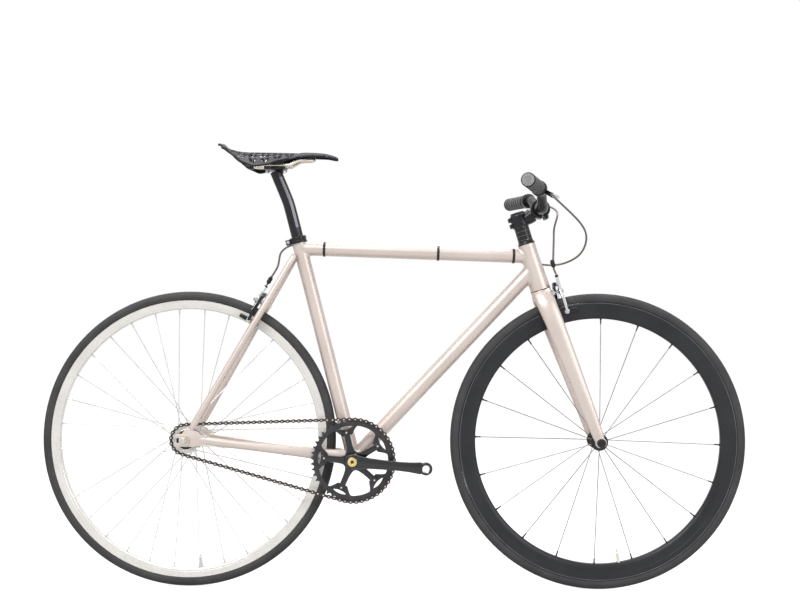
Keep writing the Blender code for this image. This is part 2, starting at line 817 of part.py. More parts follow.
def sprocket_outline(teeth, first_gap):
    """Toothed outline with seats for the rollers, centred on the sprocket."""
    pitch_radius = sprocket_radius(teeth)
    root = pitch_radius - LINK_HEIGHT / 2 - ROLLER_CLEARANCE
    tip = pitch_radius + TOOTH_HEIGHT
    step = 2 * math.pi / teeth
    seat_angle = TOOTH_SEAT / 2 / root
    outline = []
    for i in range(teeth):
        gap = first_gap + i * step
        outline.append((gap - seat_angle, root))
        outline.append((gap + seat_angle, root))
        outline.append((gap + step / 2, tip))
    return [(r * math.cos(a), r * math.sin(a)) for a, r in outline]


def chain_slope():
    """Angle of the line from the rear axle to the bottom bracket."""
    along = BB - REAR_AXLE
    return math.atan2(along.z, along.x)


def make_chainring(holder):
    arms = [CRANK_ANGLE + math.radians(36) + i * 2 * math.pi / SPIDER_ARMS
            for i in range(SPIDER_ARMS)]
    count = RING_INNER_POINTS * SPIDER_ARMS
    inner = []
    for i in range(count):
        angle = arms[0] + 2 * math.pi * i / count
        radius = ring_inner_radius(angle - arms[0])
        inner.append((radius * math.cos(angle), radius * math.sin(angle)))
    outlines = [sprocket_outline(RING_TEETH, chain_slope()), inner]
    for arm in arms:
        slot = []
        for x, y in arc_points((0, 0), 1.0, 0, 2 * math.pi * 5 / 6, 6):
            along = x * RING_SLOT_LENGTH / 2
            out = RING_SLOT_RADIUS + y * RING_SLOT_WIDTH / 2
            slot.append((out * math.cos(arm) - along * math.sin(arm),
                         out * math.sin(arm) + along * math.cos(arm)))
        outlines.append(slot)
    ring = plate("chainring", outlines, SPROCKET_THICKNESS, side_frame(BB - CHAINLINE * Y_AXIS))
    complete(ring, GUNMETAL, BB, holder)


def make_spindle(holder):
    half = SHELL_WIDTH / 2 + CUP_FLANGE_WIDTH + 0.016
    spindle = rod("bottom_bracket_spindle", BB - half * Y_AXIS, BB + half * Y_AXIS, SPINDLE_RADIUS,
                  sides=COARSE)
    complete(spindle, SILVER, BB, holder)
    return half


def crank_arm(name, side, angle):
    """Tapered crank arm with round ends, drawn in the side plane."""
    direction = crank_direction(angle)
    path = [direction * share for share in (0.0, 0.030, 0.080, CRANK_LENGTH - 0.014)]
    widths = (CRANK_BOSS_RADIUS * 0.95, 0.0125, CRANK_WAIST, CRANK_EYE_RADIUS * 0.72)
    outline = strip_outline([(p.x, p.z) for p in path], widths)
    middle = CRANK_OUTER_FACE - CRANK_THICKNESS / 2
    arm = plate(name, [outline], CRANK_THICKNESS, side_frame(BB + side * middle * Y_AXIS))
    outer = side * CRANK_OUTER_FACE * Y_AXIS
    inner = side * (CRANK_OUTER_FACE - CRANK_THICKNESS) * Y_AXIS
    eye = BB + direction * CRANK_LENGTH
    fuse(arm, rod(f"{name}_eye", eye + inner - side * 0.0005 * Y_AXIS,
                  eye + outer + side * 0.0005 * Y_AXIS, CRANK_EYE_RADIUS, sides=ROUND))
    cut(arm, rod(f"{name}_pedal_hole", BB + direction * CRANK_LENGTH,
                 eye + outer * 1.2, PEDAL_HOLE_RADIUS, sides=ROUND))
    return arm


def spider_outline():
    """Star of arms that ends in round pads on the bolt circle."""
    outline = []
    for i in range(SPIDER_ARMS):
        arm = CRANK_ANGLE + math.radians(36) + i * 2 * math.pi / SPIDER_ARMS
        pad = BOLT_CIRCLE / 2
        half = SPIDER_ARM_WIDTH / 2
        shoulder = math.asin(half / SPIDER_HUB_RADIUS)
        outline.append((SPIDER_HUB_RADIUS * math.cos(arm - shoulder * 1.25),
                        SPIDER_HUB_RADIUS * math.sin(arm - shoulder * 1.25)))
        for x, y in arc_points((pad, 0), half, -math.pi / 2, math.pi / 2, 5):
            outline.append((x * math.cos(arm) - y * math.sin(arm),
                            x * math.sin(arm) + y * math.cos(arm)))
        outline.append((SPIDER_HUB_RADIUS * math.cos(arm + shoulder * 1.25),
                        SPIDER_HUB_RADIUS * math.sin(arm + shoulder * 1.25)))
    return outline


def make_right_crank(holder, spindle_end):
    crank = crank_arm("crank_right", RIGHT, CRANK_ANGLE)
    ring_face = CHAINLINE + SPROCKET_THICKNESS / 2 + GAP
    place = BB - (ring_face + SPIDER_THICKNESS / 2) * Y_AXIS
    fuse(crank, plate("spider", [spider_outline()], SPIDER_THICKNESS, side_frame(place)))
    boss = rod("crank_right_boss", BB - (ring_face - 0.001) * Y_AXIS,
               BB - (CRANK_OUTER_FACE + 0.001) * Y_AXIS, SPIDER_HUB_RADIUS,
               CRANK_BOSS_RADIUS, sides=ROUND)
    fuse(crank, boss)
    cut(crank, rod("crank_right_bore", BB, BB - (spindle_end + GAP) * Y_AXIS,
                   SPINDLE_RADIUS + GAP, sides=COARSE))
    complete(crank, BLACK_METAL, BB, holder)


def make_left_crank(holder, spindle_end):
    crank = crank_arm("crank_left", LEFT, CRANK_ANGLE + math.pi)
    boss = rod("crank_left_boss", BB + (SHELL_WIDTH / 2 + CUP_FLANGE_WIDTH + 0.004) * Y_AXIS,
               BB + (CRANK_OUTER_FACE + 0.001) * Y_AXIS, CRANK_BOSS_RADIUS, sides=ROUND)
    fuse(crank, boss)
    cut(crank, rod("crank_left_bore", BB, BB + (spindle_end + GAP) * Y_AXIS,
                   SPINDLE_RADIUS + GAP, sides=COARSE))
    complete(crank, BLACK_METAL, BB, holder)


def chain_joints():
    """Pin centres of the closed chain in the side plane, in order."""
    ring = sprocket_radius(RING_TEETH)
    cog = sprocket_radius(COG_TEETH)
    slope = chain_slope()
    on_ring, on_cog = chain_wrap(CHAIN_DISTANCE)
    run = CHAIN_PITCHES // 2 - on_ring - on_cog

    def on_circle(centre, radius, angle):
        return centre + radius * crank_direction(slope + angle)

    ring_points = [on_circle(BB, ring, -i * 2 * math.pi / RING_TEETH)
                   for i in range(-on_ring, on_ring + 1)]
    cog_points = [on_circle(REAR_AXLE, cog, math.pi - i * 2 * math.pi / COG_TEETH)
                  for i in range(-on_cog, on_cog + 1)]
    lower = [ring_points[-1].lerp(cog_points[0], i / run) for i in range(1, run)]
    upper = [cog_points[-1].lerp(ring_points[0], i / run) for i in range(1, run)]
    return ring_points + lower + cog_points + upper


def chain_pins():
    """Corners round each pin of the chain: behind, above, ahead and below."""
    joints = chain_joints()
    pins = []
    for i, joint in enumerate(joints):
        along = (joints[(i + 1) % len(joints)] - joints[i - 1]).normalized()
        across = Vector((-along.z, 0, along.x))
        pins.append((
            joint - along * LINK_END,
            joint + across * LINK_HEIGHT / 2,
            joint + along * LINK_END,
            joint - across * LINK_HEIGHT / 2,
        ))
    return pins


def add_walls(bm, lower, upper):
    """Walls between two rings of corners."""
    count = len(lower)
    for i in range(count):
        bm.faces.new((lower[i], lower[(i + 1) % count], upper[(i + 1) % count], upper[i]))


def make_chain():
    """Closed chain whose plates and rollers share their corners at every pin."""
    pins = chain_pins()
    inner_face = CHAIN_INNER_WIDTH / 2
    inner_out = inner_face + LINK_PLATE_THICKNESS
    outer_out = inner_out + LINK_PLATE_THICKNESS
    bm = bmesh.new()
    roller_rings = {}
    for side in (RIGHT, LEFT):
        levels = []
        for depth in (inner_face, inner_out, outer_out):
            offset = Vector((0, side * depth - CHAINLINE, 0))
            levels.append([[bm.verts.new(corner + offset) for corner in pin] for pin in pins])
        roller_rings[side] = levels[0]
        for i, start in enumerate(pins):
            j = (i + 1) % len(pins)
            low, high = (1, 2) if i % 2 == 0 else (0, 1)

            def rim(level):
                back, above, _, below = levels[level][i]
                _, next_above, ahead, next_below = levels[level][j]
                return [back, above, next_above, ahead, next_below, below]

            def waist(level):
                _, above, ahead, below = levels[level][i]
                back, next_above, _, next_below = levels[level][j]
                return [above, next_above, back, next_below, below, ahead]

            bm.faces.new(waist(low))
            add_walls(bm, rim(low), rim(high))
            bm.faces.new(rim(high) if high == 2 else waist(high))
    for right, left in zip(roller_rings[RIGHT], roller_rings[LEFT]):
        add_walls(bm, right, left)
    spare = [vertex for vertex in bm.verts if not vertex.link_faces]
    bmesh.ops.delete(bm, geom=spare, context="VERTS")
    complete(add_bmesh("chain", bm), BRONZE)


# Wheels

def wheel_frame(axle):
    """Turning frame whose Z points to the left of the bicycle."""
    return frame_at(axle, Y_AXIS)


def tyre_profile():
    half = TYRE_WIDTH / 2
    centre = TYRE_RADIUS - half
    count = 7
    profile = []
    for i in range(count):
        angle = TYRE_BASE_ANGLE - 2 * TYRE_BASE_ANGLE * i / (count - 1)
        profile.append((centre + half * math.cos(angle), half * math.sin(angle)))
    return profile


def rim_profile(depth, width):
    """Rim section: brake track, shoulder and nose, with a flat tyre bed."""
    bed = TYRE_RADIUS - TYRE_WIDTH / 2 + TYRE_WIDTH / 2 * math.cos(TYRE_BASE_ANGLE) - GAP
    half = width / 2
    nose = half * (0.30 if depth > 0.03 else 0.55)
    right = [
        (bed, half * 0.95),
        (bed, -half * 0.95),
        (bed - RIM_TRACK_HEIGHT, -half),
    ]
    right.append((bed - depth, -nose))
    left = [(r, -z) for r, z in reversed(right[2:])]
    return right + left


def make_tyre(name, axle, holder):
    tyre = turned(name, tyre_profile(), wheel_frame(axle), WHEEL_STEPS, closed=True)
    complete(tyre, RUBBER, axle, holder)


def make_rim(name, axle, depth, width, surface, holder):
    rim = turned(name, rim_profile(depth, width), wheel_frame(axle), WHEEL_STEPS, closed=True)
    complete(rim, surface, axle, holder)


def hub_profile(width, flange, spacing, barrel, bore, boss=None):
    """Hub body with two flanges, listed from its left end down to its right end."""
    half = width / 2
    thick = FLANGE_THICKNESS / 2
    neck = bore + 0.0045
    right = [
        (barrel, -spacing + thick + 0.006),
        (flange * 0.72, -spacing + thick),
        (flange, -spacing + thick),
        (flange, -spacing - thick),
        (flange * 0.72, -spacing - thick),
    ]
    left = [(r, -z) for r, z in reversed(right)]
    if boss:
        right += [(boss, -spacing - thick - 0.001), (boss, -half + 0.014), (neck, -half + 0.013)]
    else:
        right += [(neck, -spacing - thick - 0.005)]
    right += [(neck, -half + GAP), (bore, -half + GAP)]
    left = [(bore, half - GAP), (neck, half - GAP), (neck, spacing + thick + 0.005)] + left
    return left + right


def spoke_ends(index, count, start, flange, spacing, rim_bed, crossed):
    """Hub end and rim end of one spoke, in the wheel's own frame."""
    rim_angle = start + index * 2 * math.pi / count
    side = RIGHT if index % 2 == 0 else LEFT
    hub_radius = flange - SPOKE_HOLE_INSET
    hub_angle = rim_angle
    lace = 0.0
    if crossed:
        turn = 1 if (index // 2) % 2 == 0 else -1
        hub_angle += turn * SPOKE_LACE_ANGLE
        lace = turn * SPOKE_LACE_OFFSET
    hub = hub_radius * crank_direction(hub_angle)
    hub.y = side * (spacing + lace)
    rim = (rim_bed * math.cos(math.pi / WHEEL_STEPS) - GAP) * crank_direction(rim_angle)
    rim.y = side * 0.0020
    return hub, rim


def make_hub(name, axle, profile, spokes, surface, holder):
    hub = turned(name, profile, wheel_frame(axle), COARSE, closed=True)
    bm = bmesh.new()
    for start, end in spokes:
        along = end - start
        tilt = frame_at(start, along, Y_AXIS)
        place = tilt @ Matrix.Translation((0, 0, along.length / 2))
        bmesh.ops.create_cone(bm, cap_ends=True, segments=3, radius1=SPOKE_RADIUS,
                              radius2=SPOKE_RADIUS, depth=along.length, matrix=place)
    fuse(hub, add_bmesh(f"{name}_spokes", bm, Matrix.Translation(axle)))
    complete(hub, surface, axle, holder)


def make_front_wheel(holder):
    bed = TYRE_RADIUS - TYRE_WIDTH / 2 + TYRE_WIDTH / 2 * math.cos(TYRE_BASE_ANGLE) - GAP
    make_tyre("front_tyre", FRONT_AXLE, holder)
    make_rim("front_rim", FRONT_AXLE, FRONT_RIM_DEPTH, FRONT_RIM_WIDTH, CARBON, holder)
    profile = hub_profile(FRONT_HUB_WIDTH, FRONT_FLANGE_RADIUS, FRONT_FLANGE_SPACING,
                          FRONT_BARREL_RADIUS, FRONT_AXLE_RADIUS + RUNNING_GAP)
    spokes = [spoke_ends(i, FRONT_SPOKES, FRONT_SPOKE_START, FRONT_FLANGE_RADIUS,
                         FRONT_FLANGE_SPACING, bed - FRONT_RIM_DEPTH, False)
              for i in range(FRONT_SPOKES)]
    make_hub("front_hub", FRONT_AXLE, profile, spokes, BLACK_METAL, holder)


def make_rear_wheel(holder):
    bed = TYRE_RADIUS - TYRE_WIDTH / 2 + TYRE_WIDTH / 2 * math.cos(TYRE_BASE_ANGLE) - GAP
    make_tyre("rear_tyre", REAR_AXLE, holder)
    make_rim("rear_rim", REAR_AXLE, REAR_RIM_DEPTH, REAR_RIM_WIDTH, SILVER, holder)
    profile = hub_profile(REAR_HUB_WIDTH, REAR_FLANGE_RADIUS, REAR_FLANGE_SPACING,
                          REAR_BARREL_RADIUS, REAR_AXLE_RADIUS + RUNNING_GAP,
                          COG_BORE_RADIUS - RUNNING_GAP)
    spokes = [spoke_ends(i, REAR_SPOKES, REAR_SPOKE_START, REAR_FLANGE_RADIUS,
                         REAR_FLANGE_SPACING, bed - REAR_RIM_DEPTH, True)
              for i in range(REAR_SPOKES)]
    make_hub("rear_hub", REAR_AXLE, profile, spokes, SILVER, holder)


def make_cog(holder):
    outlines = [
        sprocket_outline(COG_TEETH, chain_slope() + math.pi),
        arc_points((0, 0), COG_BORE_RADIUS, 0, 2 * math.pi * (1 - 1 / COG_BORE_SIDES),
                   COG_BORE_SIDES),
    ]
    cog = plate("freewheel_cog", outlines, SPROCKET_THICKNESS,
                side_frame(REAR_AXLE - CHAINLINE * Y_AXIS))
    inner = CHAINLINE - COG_BODY_WIDTH / 2
    outer = CHAINLINE + COG_BODY_WIDTH / 2 - 0.002
    outline = [
        (COG_BORE_RADIUS, outer),
        (COG_BODY_RADIUS - 0.002, outer),
        (COG_BODY_RADIUS, outer - 0.002),
        (COG_BODY_RADIUS, inner),
        (COG_BORE_RADIUS, inner),
    ]
    body = turned("freewheel_body", outline, frame_at(REAR_AXLE, -Y_AXIS), COG_BORE_SIDES,
                  closed=True)
    fuse(cog, body)
    complete(cog, SILVER, REAR_AXLE, holder)


def make_rear_axle():
    reach = REAR_HUB_WIDTH / 2 + TRACK_END_THICKNESS + 2 * GAP
    reach += AXLE_WASHER_THICKNESS + AXLE_NUT_LENGTH + 0.004
    axle = rod("rear_axle", REAR_AXLE - reach * Y_AXIS, REAR_AXLE + reach * Y_AXIS,
               REAR_AXLE_RADIUS, sides=COARSE)
    complete(axle, SILVER)


def make_axle_nut(side):
    inner = REAR_HUB_WIDTH / 2 + TRACK_END_THICKNESS + 2 * GAP
    name = f"axle_nut_{SIDE_NAMES[side]}"
    washer_end = inner + AXLE_WASHER_THICKNESS
    outline = [
        (AXLE_WASHER_RADIUS, washer_end),
        (AXLE_WASHER_RADIUS, inner),
        (0, inner),
    ]
    outline.insert(0, (0, washer_end))
    nut = turned(name, outline, frame_at(REAR_AXLE, side * Y_AXIS))
    hexagon = rod(f"{name}_hexagon", REAR_AXLE + side * (washer_end - 0.001) * Y_AXIS,
                  REAR_AXLE + side * (washer_end + AXLE_NUT_LENGTH) * Y_AXIS,
                  AXLE_NUT_FLATS / 2 / math.cos(math.pi / 6), sides=6)
    fuse(nut, hexagon)
    cut(nut, rod(f"{name}_bore", REAR_AXLE, REAR_AXLE + side * 0.1 * Y_AXIS,
                 REAR_AXLE_RADIUS + GAP, sides=COARSE))
    complete(nut, SILVER)


# Steering

def make_bearing(name, up):
    outline = [
        (BEARING_RADIUS, BEARING_HEIGHT),
        (BEARING_RADIUS, 0),
        (STEERER_RADIUS + GAP, 0),
        (STEERER_RADIUS + GAP, BEARING_HEIGHT),
    ]
    bearing = turned(name, outline, frame_at(steer(up), STEER_UP), closed=True)
    complete(bearing, SILVER)


def blade_sections(side):
    """Oval sections of one fork blade, from the crown down to the tip."""
    crown_low = FORK_LENGTH - GAP - CROWN_HEIGHT
    tip_side = FRONT_HUB_WIDTH / 2 + GAP + BLADE_TIP_WIDTH / 2
    stations = (
        (crown_low + 0.016, 0.000, 0.0250, BLADE_TOP_CHORD, BLADE_TOP_WIDTH * 0.85),
        (crown_low - 0.010, 0.0015, BLADE_TOP_SIDE, BLADE_TOP_CHORD * 0.97, BLADE_TOP_WIDTH),
        (crown_low - 0.060, 0.0050, BLADE_TOP_SIDE + 0.006, BLADE_TOP_CHORD * 0.93, 0.0190),
        (0.140, 0.0150, tip_side - 0.007, BLADE_TOP_CHORD * 0.76, 0.0160),
        (0.030, 0.0215, tip_side - 0.0005, BLADE_TIP_CHORD * 1.12, BLADE_TIP_WIDTH),
        (-0.010, FORK_RAKE, tip_side, BLADE_TIP_CHORD * 0.8, BLADE_TIP_WIDTH),
    )
    sections = []
    for up, forward, y, chord, width in stations:
        centre = steer(up, forward, side * y)
        sections.append(oval(centre, STEER_FORWARD, chord / 2, Y_AXIS, width / 2))
    return sections


def make_fork(holder):
    top = STEM_TOP - 0.004
    crown_top = FORK_LENGTH - GAP
    crown = [
        (0, crown_top),
        (CROWN_RADIUS, crown_top),
        (CROWN_RADIUS, crown_top - CROWN_HEIGHT * 0.7),
        (CROWN_RADIUS * 0.85, crown_top - CROWN_HEIGHT),
        (0, crown_top - CROWN_HEIGHT),
    ]
    fork = turned("fork", crown, frame_at(STEER_FOOT, STEER_UP))
    fuse(fork, rod("steerer", steer(crown_top - 0.005), steer(top), STEERER_RADIUS, sides=ROUND))
    for side in (RIGHT, LEFT):
        fuse(fork, loft(f"fork_blade_{SIDE_NAMES[side]}", blade_sections(side)))
        inner_end = FRONT_AXLE + side * (FRONT_HUB_WIDTH / 2 - GAP) * Y_AXIS
        outer_end = inner_end + side * (2 * GAP + BLADE_TIP_WIDTH) * Y_AXIS
        fuse(fork, rod(f"fork_tip_{SIDE_NAMES[side]}", inner_end, outer_end, FORK_TIP_RADIUS))
    inner = FRONT_HUB_WIDTH / 2 + GAP
    face = frame_at(FRONT_AXLE, STEER_UP, STEER_FORWARD)
    cut(fork, block("fork_inner_faces", (0.060, 2 * inner, 0.050), face))
    slot = FRONT_AXLE_RADIUS + GAP
    outline = arc_points((0, 0), slot, 0, math.pi, 7) + [(-slot, -0.030), (slot, -0.030)]
    cut(fork, plate("fork_slots", [outline], 0.160, frame_at(FRONT_AXLE, -Y_AXIS, STEER_FORWARD)))
    complete(fork, RAW_METAL, STEER_FOOT, holder)


def make_headset_cover(holder):
    bore = STEERER_RADIUS + GAP
    outline = [
        (bore, COVER_HEIGHT),
        (SPACER_RADIUS, COVER_HEIGHT),
        (SPACER_RADIUS + 0.0005, COVER_HEIGHT * 0.5),
        (HEAD_TOP_RADIUS + 0.0004, COVER_HEIGHT * 0.22),
        (HEAD_TOP_RADIUS + 0.0004, 0),
        (bore, 0),
    ]
    cover = turned("headset_cover", outline, frame_at(steer(COVER_BOTTOM), STEER_UP), ROUND,
                   closed=True)
    complete(cover, BLACK_METAL, STEER_FOOT, holder)


def make_spacers(holder):
    bore = STEERER_RADIUS + GAP
    profile = []
    for i in reversed(range(SPACER_COUNT)):
        low = i * SPACER_HEIGHT
        profile.append((SPACER_RADIUS, low + SPACER_HEIGHT - SPACER_GROOVE / 2))
        profile.append((SPACER_RADIUS, low + SPACER_GROOVE / 2))
        if i:
            profile.append((SPACER_RADIUS - SPACER_GROOVE, low))
    profile.append((bore, SPACER_GROOVE / 2))
    profile.append((bore, SPACER_COUNT * SPACER_HEIGHT - SPACER_GROOVE / 2))
    spacers = turned("headset_spacers", profile, frame_at(steer(SPACERS_BOTTOM), STEER_UP), ROUND,
                     closed=True)
    complete(spacers, BLACK_METAL, STEER_FOOT, holder)


def make_stem(holder):
    clamp_face = 0.0010
    stem = rod("stem", steer(STEM_BOTTOM), steer(STEM_TOP), STEM_CLAMP_RADIUS, sides=ROUND)
    start = steer(STEM_MIDDLE, 0.010)
    along = BAR_CENTRE - start
    neck_end = BAR_CENTRE - along.normalized() * 0.004
    tilt = along.normalized().cross(Y_AXIS)
    sections = [
        oval(start, Y_AXIS, 0.0165, tilt, 0.0120),
        oval(start.lerp(neck_end, 0.55), Y_AXIS, 0.0165, tilt, 0.0138),
        oval(neck_end, Y_AXIS, FACEPLATE_WIDTH / 2, tilt, BAR_CLAMP_RADIUS + FACEPLATE_THICKNESS),
    ]
    fuse(stem, loft("stem_neck", sections))
    outer = BAR_CLAMP_RADIUS + FACEPLATE_THICKNESS
    half = FACEPLATE_WIDTH / 2
    fuse(stem, rod("stem_bar_clamp", BAR_CENTRE - half * Y_AXIS, BAR_CENTRE + half * Y_AXIS,
                   outer, sides=ROUND))
    cut(stem, rod("stem_bar_bore", BAR_CENTRE - 0.05 * Y_AXIS, BAR_CENTRE + 0.05 * Y_AXIS,
                  BAR_CLAMP_RADIUS + GAP, sides=BAR_CLAMP_SIDES))
    front = frame_at(BAR_CENTRE + STEER_FORWARD * (0.05 + clamp_face), STEER_FORWARD, STEER_UP)
    cut(stem, block("stem_front_cut", (0.1, 0.1, 0.1), front))
    cut(stem, rod("stem_steerer_bore", steer(STEM_BOTTOM - 0.01), steer(STEM_TOP + 0.01),
                  STEERER_RADIUS + GAP, sides=ROUND))
    complete(stem, BLACK_METAL, STEER_FOOT, holder)


def make_faceplate(holder):
    outer = BAR_CLAMP_RADIUS + FACEPLATE_THICKNESS
    half = FACEPLATE_WIDTH / 2
    face = rod("stem_faceplate", BAR_CENTRE - half * Y_AXIS, BAR_CENTRE + half * Y_AXIS, outer,
               sides=ROUND)
    ears = frame_at(BAR_CENTRE + STEER_FORWARD * 0.007, STEER_FORWARD, STEER_UP)
    fuse(face, block("faceplate_ears", (0.0520, FACEPLATE_WIDTH, 0.0090), ears))
    cut(face, rod("faceplate_bar_bore", BAR_CENTRE - 0.05 * Y_AXIS, BAR_CENTRE + 0.05 * Y_AXIS,
                  BAR_CLAMP_RADIUS + GAP, sides=BAR_CLAMP_SIDES))
    rear = frame_at(BAR_CENTRE - STEER_FORWARD * (0.05 - 0.0025), STEER_FORWARD, STEER_UP)
    cut(face, block("faceplate_rear_cut", (0.1, 0.1, 0.1), rear))
    complete(face, BLACK_METAL, STEER_FOOT, holder)


def make_top_cap(holder):
    low = STEM_TOP + GAP
    outline = [
        (0, TOP_CAP_HEIGHT),
        (STEERER_RADIUS, TOP_CAP_HEIGHT),
        (STEERER_RADIUS + CAP_RIM, TOP_CAP_HEIGHT - 0.0015),
        (STEERER_RADIUS + CAP_RIM, 0),
        (0, 0),
    ]
    cap = turned("top_cap", outline, frame_at(steer(low), STEER_UP))
    complete(cap, BLACK_METAL, STEER_FOOT, holder)


def bar_straight(side):
    """Start and end of the straight outer stretch of the handlebar."""
    start = BAR_CENTRE + Vector((-0.0105, side * 0.1180, 0.0326))
    end = BAR_CENTRE + Vector((-BAR_SWEEP, side * BAR_HALF_WIDTH, BAR_RISE))
    return start, end


def bar_bend(side):
    """Points of the bend between the clamp and the straight stretch."""
    offsets = (
        (0.000, 0.028, 0.000),
        (0.000, 0.050, 0.002),
        (-0.002, 0.070, 0.012),
        (-0.006, 0.095, 0.026),
    )
    bend = [BAR_CENTRE + Vector((x, side * y, z)) for x, y, z in offsets]
    return smooth_path([*bend, bar_straight(side)[0]], 2)


def make_handlebar(holder):
    right = [*bar_bend(RIGHT), bar_straight(RIGHT)[1]]
    left = [*bar_bend(LEFT), bar_straight(LEFT)[1]]
    path = right[::-1] + left
    radii = []
    for point in path:
        reach = abs(point.y)
        share = min(max((reach - 0.030) / 0.045, 0), 1)
        radii.append(BAR_CLAMP_RADIUS + (BAR_RADIUS - BAR_CLAMP_RADIUS) * share)
    bar = wire("handlebar", path, BAR_RADIUS, 4, radii)
    complete(bar, BLACK_METAL, STEER_FOOT, holder)


def grip_line(side):
    """Inner and outer end of a grip's axis, along the bar's straight stretch."""
    start, outer = bar_straight(side)
    return outer + (start - outer).normalized() * GRIP_LENGTH, outer


def make_grip(side, holder):
    inner, outer = grip_line(side)
    end_wall = 0.0035
    length = GRIP_LENGTH + end_wall
    bore = BAR_RADIUS + GAP
    profile = [(0, length), (GRIP_RADIUS * 0.86, length), (GRIP_RADIUS, length - 0.003)]
    step = (GRIP_LENGTH - 0.012) / GRIP_RIBS
    for i in range(GRIP_RIBS):
        high = GRIP_LENGTH - 0.004 - i * step
        profile.append((GRIP_RADIUS, high))
        profile.append((GRIP_RADIUS - 0.0012, high - step * 0.35))
    profile += [(GRIP_RADIUS + 0.001, 0.004), (GRIP_RADIUS + 0.001, 0.0), (bore, 0.0),
                (bore, length - end_wall + GAP), (0, length - end_wall + GAP)]
    grip = turned(f"grip_{SIDE_NAMES[side]}", profile, frame_at(inner, outer - inner), COARSE)
    complete(grip, GRIP_RUBBER, STEER_FOOT, holder)


# Seat

def make_collar():
    low = seat(SEAT_TUBE_LENGTH - COLLAR_HEIGHT * 0.75)
    high = seat(SEAT_TUBE_LENGTH + COLLAR_HEIGHT * 0.25)
    collar = rod("seat_collar", low, high, COLLAR_RADIUS, sides=ROUND)
    ears = frame_at(low.lerp(high, 0.5) + SEAT_BACK * (COLLAR_RADIUS + 0.003), SEAT_UP, SEAT_BACK)
    fuse(collar, block("collar_ears", (0.014, 0.018, COLLAR_HEIGHT * 0.8), ears))
    cut(collar, rod("collar_tube_bore", seat(SEAT_TUBE_LENGTH - 0.05), seat(SEAT_TUBE_LENGTH + GAP),
                    SEAT_TUBE_RADIUS + GAP, sides=ROUND))
    cut(collar, rod("collar_post_bore", seat(SEAT_TUBE_LENGTH - 0.05), seat(SEAT_TUBE_LENGTH + 0.05),
                    SEATPOST_RADIUS + GAP, sides=ROUND))
    split = frame_at(low.lerp(high, 0.5) + SEAT_BACK * 0.024, SEAT_UP, SEAT_BACK)
    cut(collar, block("collar_split", (0.024, 0.0016, 0.05), split))
    complete(collar, BLACK_METAL)


def seatpost_path():
    top = SEAT_TUBE_LENGTH
    bend = seat(top + SEATPOST_BEND_HEIGHT)
    head = seat(top + SEATPOST_TOP_HEIGHT, SEATPOST_SETBACK)
    foot = seat(top - SEATPOST_INSERT)
    below = seat(top + SEATPOST_BEND_HEIGHT - 0.025)
    above = bend.lerp(head, 0.35)
    middle = (below + above + 4 * bend) / 6
    return [foot, below, middle, above, head]


def make_seatpost(holder):
    path = seatpost_path()
    post = wire("seatpost", path, SEATPOST_RADIUS, 4)
    head = path[-1]
    cradle = Matrix.Translation(Vector((head.x, 0, rail_height() - 0.0055)))
    fuse(post, block("seatpost_cradle", (CLAMP_LENGTH, RAIL_SPACING + 0.014, 0.0100), cradle))
    for side in (RIGHT, LEFT):
        y = side * RAIL_SPACING / 2
        low = Vector((head.x - 0.05, y, rail_height()))
        high = Vector((head.x + 0.05, y, rail_height()))
        cut(post, rod(f"seatpost_rail_groove_{SIDE_NAMES[side]}", low, high, RAIL_RADIUS + GAP,
                      sides=COARSE))
    complete(post, BLACK_METAL, seat(SEAT_TUBE_LENGTH), holder)


def rail_height():
    """Height of the saddle rails where the post holds them."""
    return seatpost_path()[-1].z + 0.0120


def make_saddle_clamp(holder):
    head = seatpost_path()[-1]
    plane = Matrix.Translation(Vector((head.x, 0, rail_height() + 0.0035)))
    clamp = block("saddle_clamp", (CLAMP_LENGTH * 0.85, RAIL_SPACING + 0.012, 0.0060), plane)
    for side in (RIGHT, LEFT):
        y = side * RAIL_SPACING / 2
        low = Vector((head.x - 0.05, y, rail_height()))
        high = Vector((head.x + 0.05, y, rail_height()))
        cut(clamp, rod(f"clamp_groove_{SIDE_NAMES[side]}", low, high, RAIL_RADIUS + GAP,
                       sides=COARSE))
    complete(clamp, BLACK_METAL, seat(SEAT_TUBE_LENGTH), holder)


# Saddle stations: share of length from the tail, half width, crown height, side drop
SADDLE_STATIONS = (
    (0.00, 0.0260, 0.0250, 0.0020),
    (0.06, 0.0400, 0.0160, 0.0040),
    (0.13, 0.0530, 0.0090, 0.0140),
    (0.22, 0.0620, 0.0060, 0.0295),
    (0.31, 0.0640, 0.0060, 0.0390),
    (0.41, 0.0540, 0.0060, 0.0340),
    (0.51, 0.0390, 0.0055, 0.0220),
    (0.61, 0.0275, 0.0050, 0.0140),
    (0.71, 0.0220, 0.0045, 0.0090),
    (0.81, 0.0200, 0.0040, 0.0070),
    (0.91, 0.0180, 0.0020, 0.0060),
    (1.00, 0.0090, -0.0060, 0.0030),
)


def saddle_height():
    """Height that the saddle's crown is counted from."""
    return rail_height() + SADDLE_ABOVE_RAILS


def saddle_tail():
    """Place of the saddle's tail along the bicycle."""
    return seatpost_path()[-1].x - SADDLE_TAIL_REACH


def saddle_point(station, column):
    """Point of the saddle's upper skin at a station and a column across."""
    share, half_width, crown, drop = station
    across = 2 * column / SADDLE_COLUMNS - 1
    x = saddle_tail() + share * SADDLE_LENGTH
    if share == 0.0:
        x += 0.022 * (1 - abs(abs(across) - 0.6) / 0.6) * -1 + 0.022
    y = across * half_width * SADDLE_WIDTH / 0.13
    z = saddle_height() + crown - drop * abs(across) ** 2.2
    return Vector((x, y, z))


def saddle_opening(row, column):
    """True where the webbed skin is open."""
    return column in (2, 5) and row % 2 == 0 and 1 < row < len(SADDLE_STATIONS) - 3


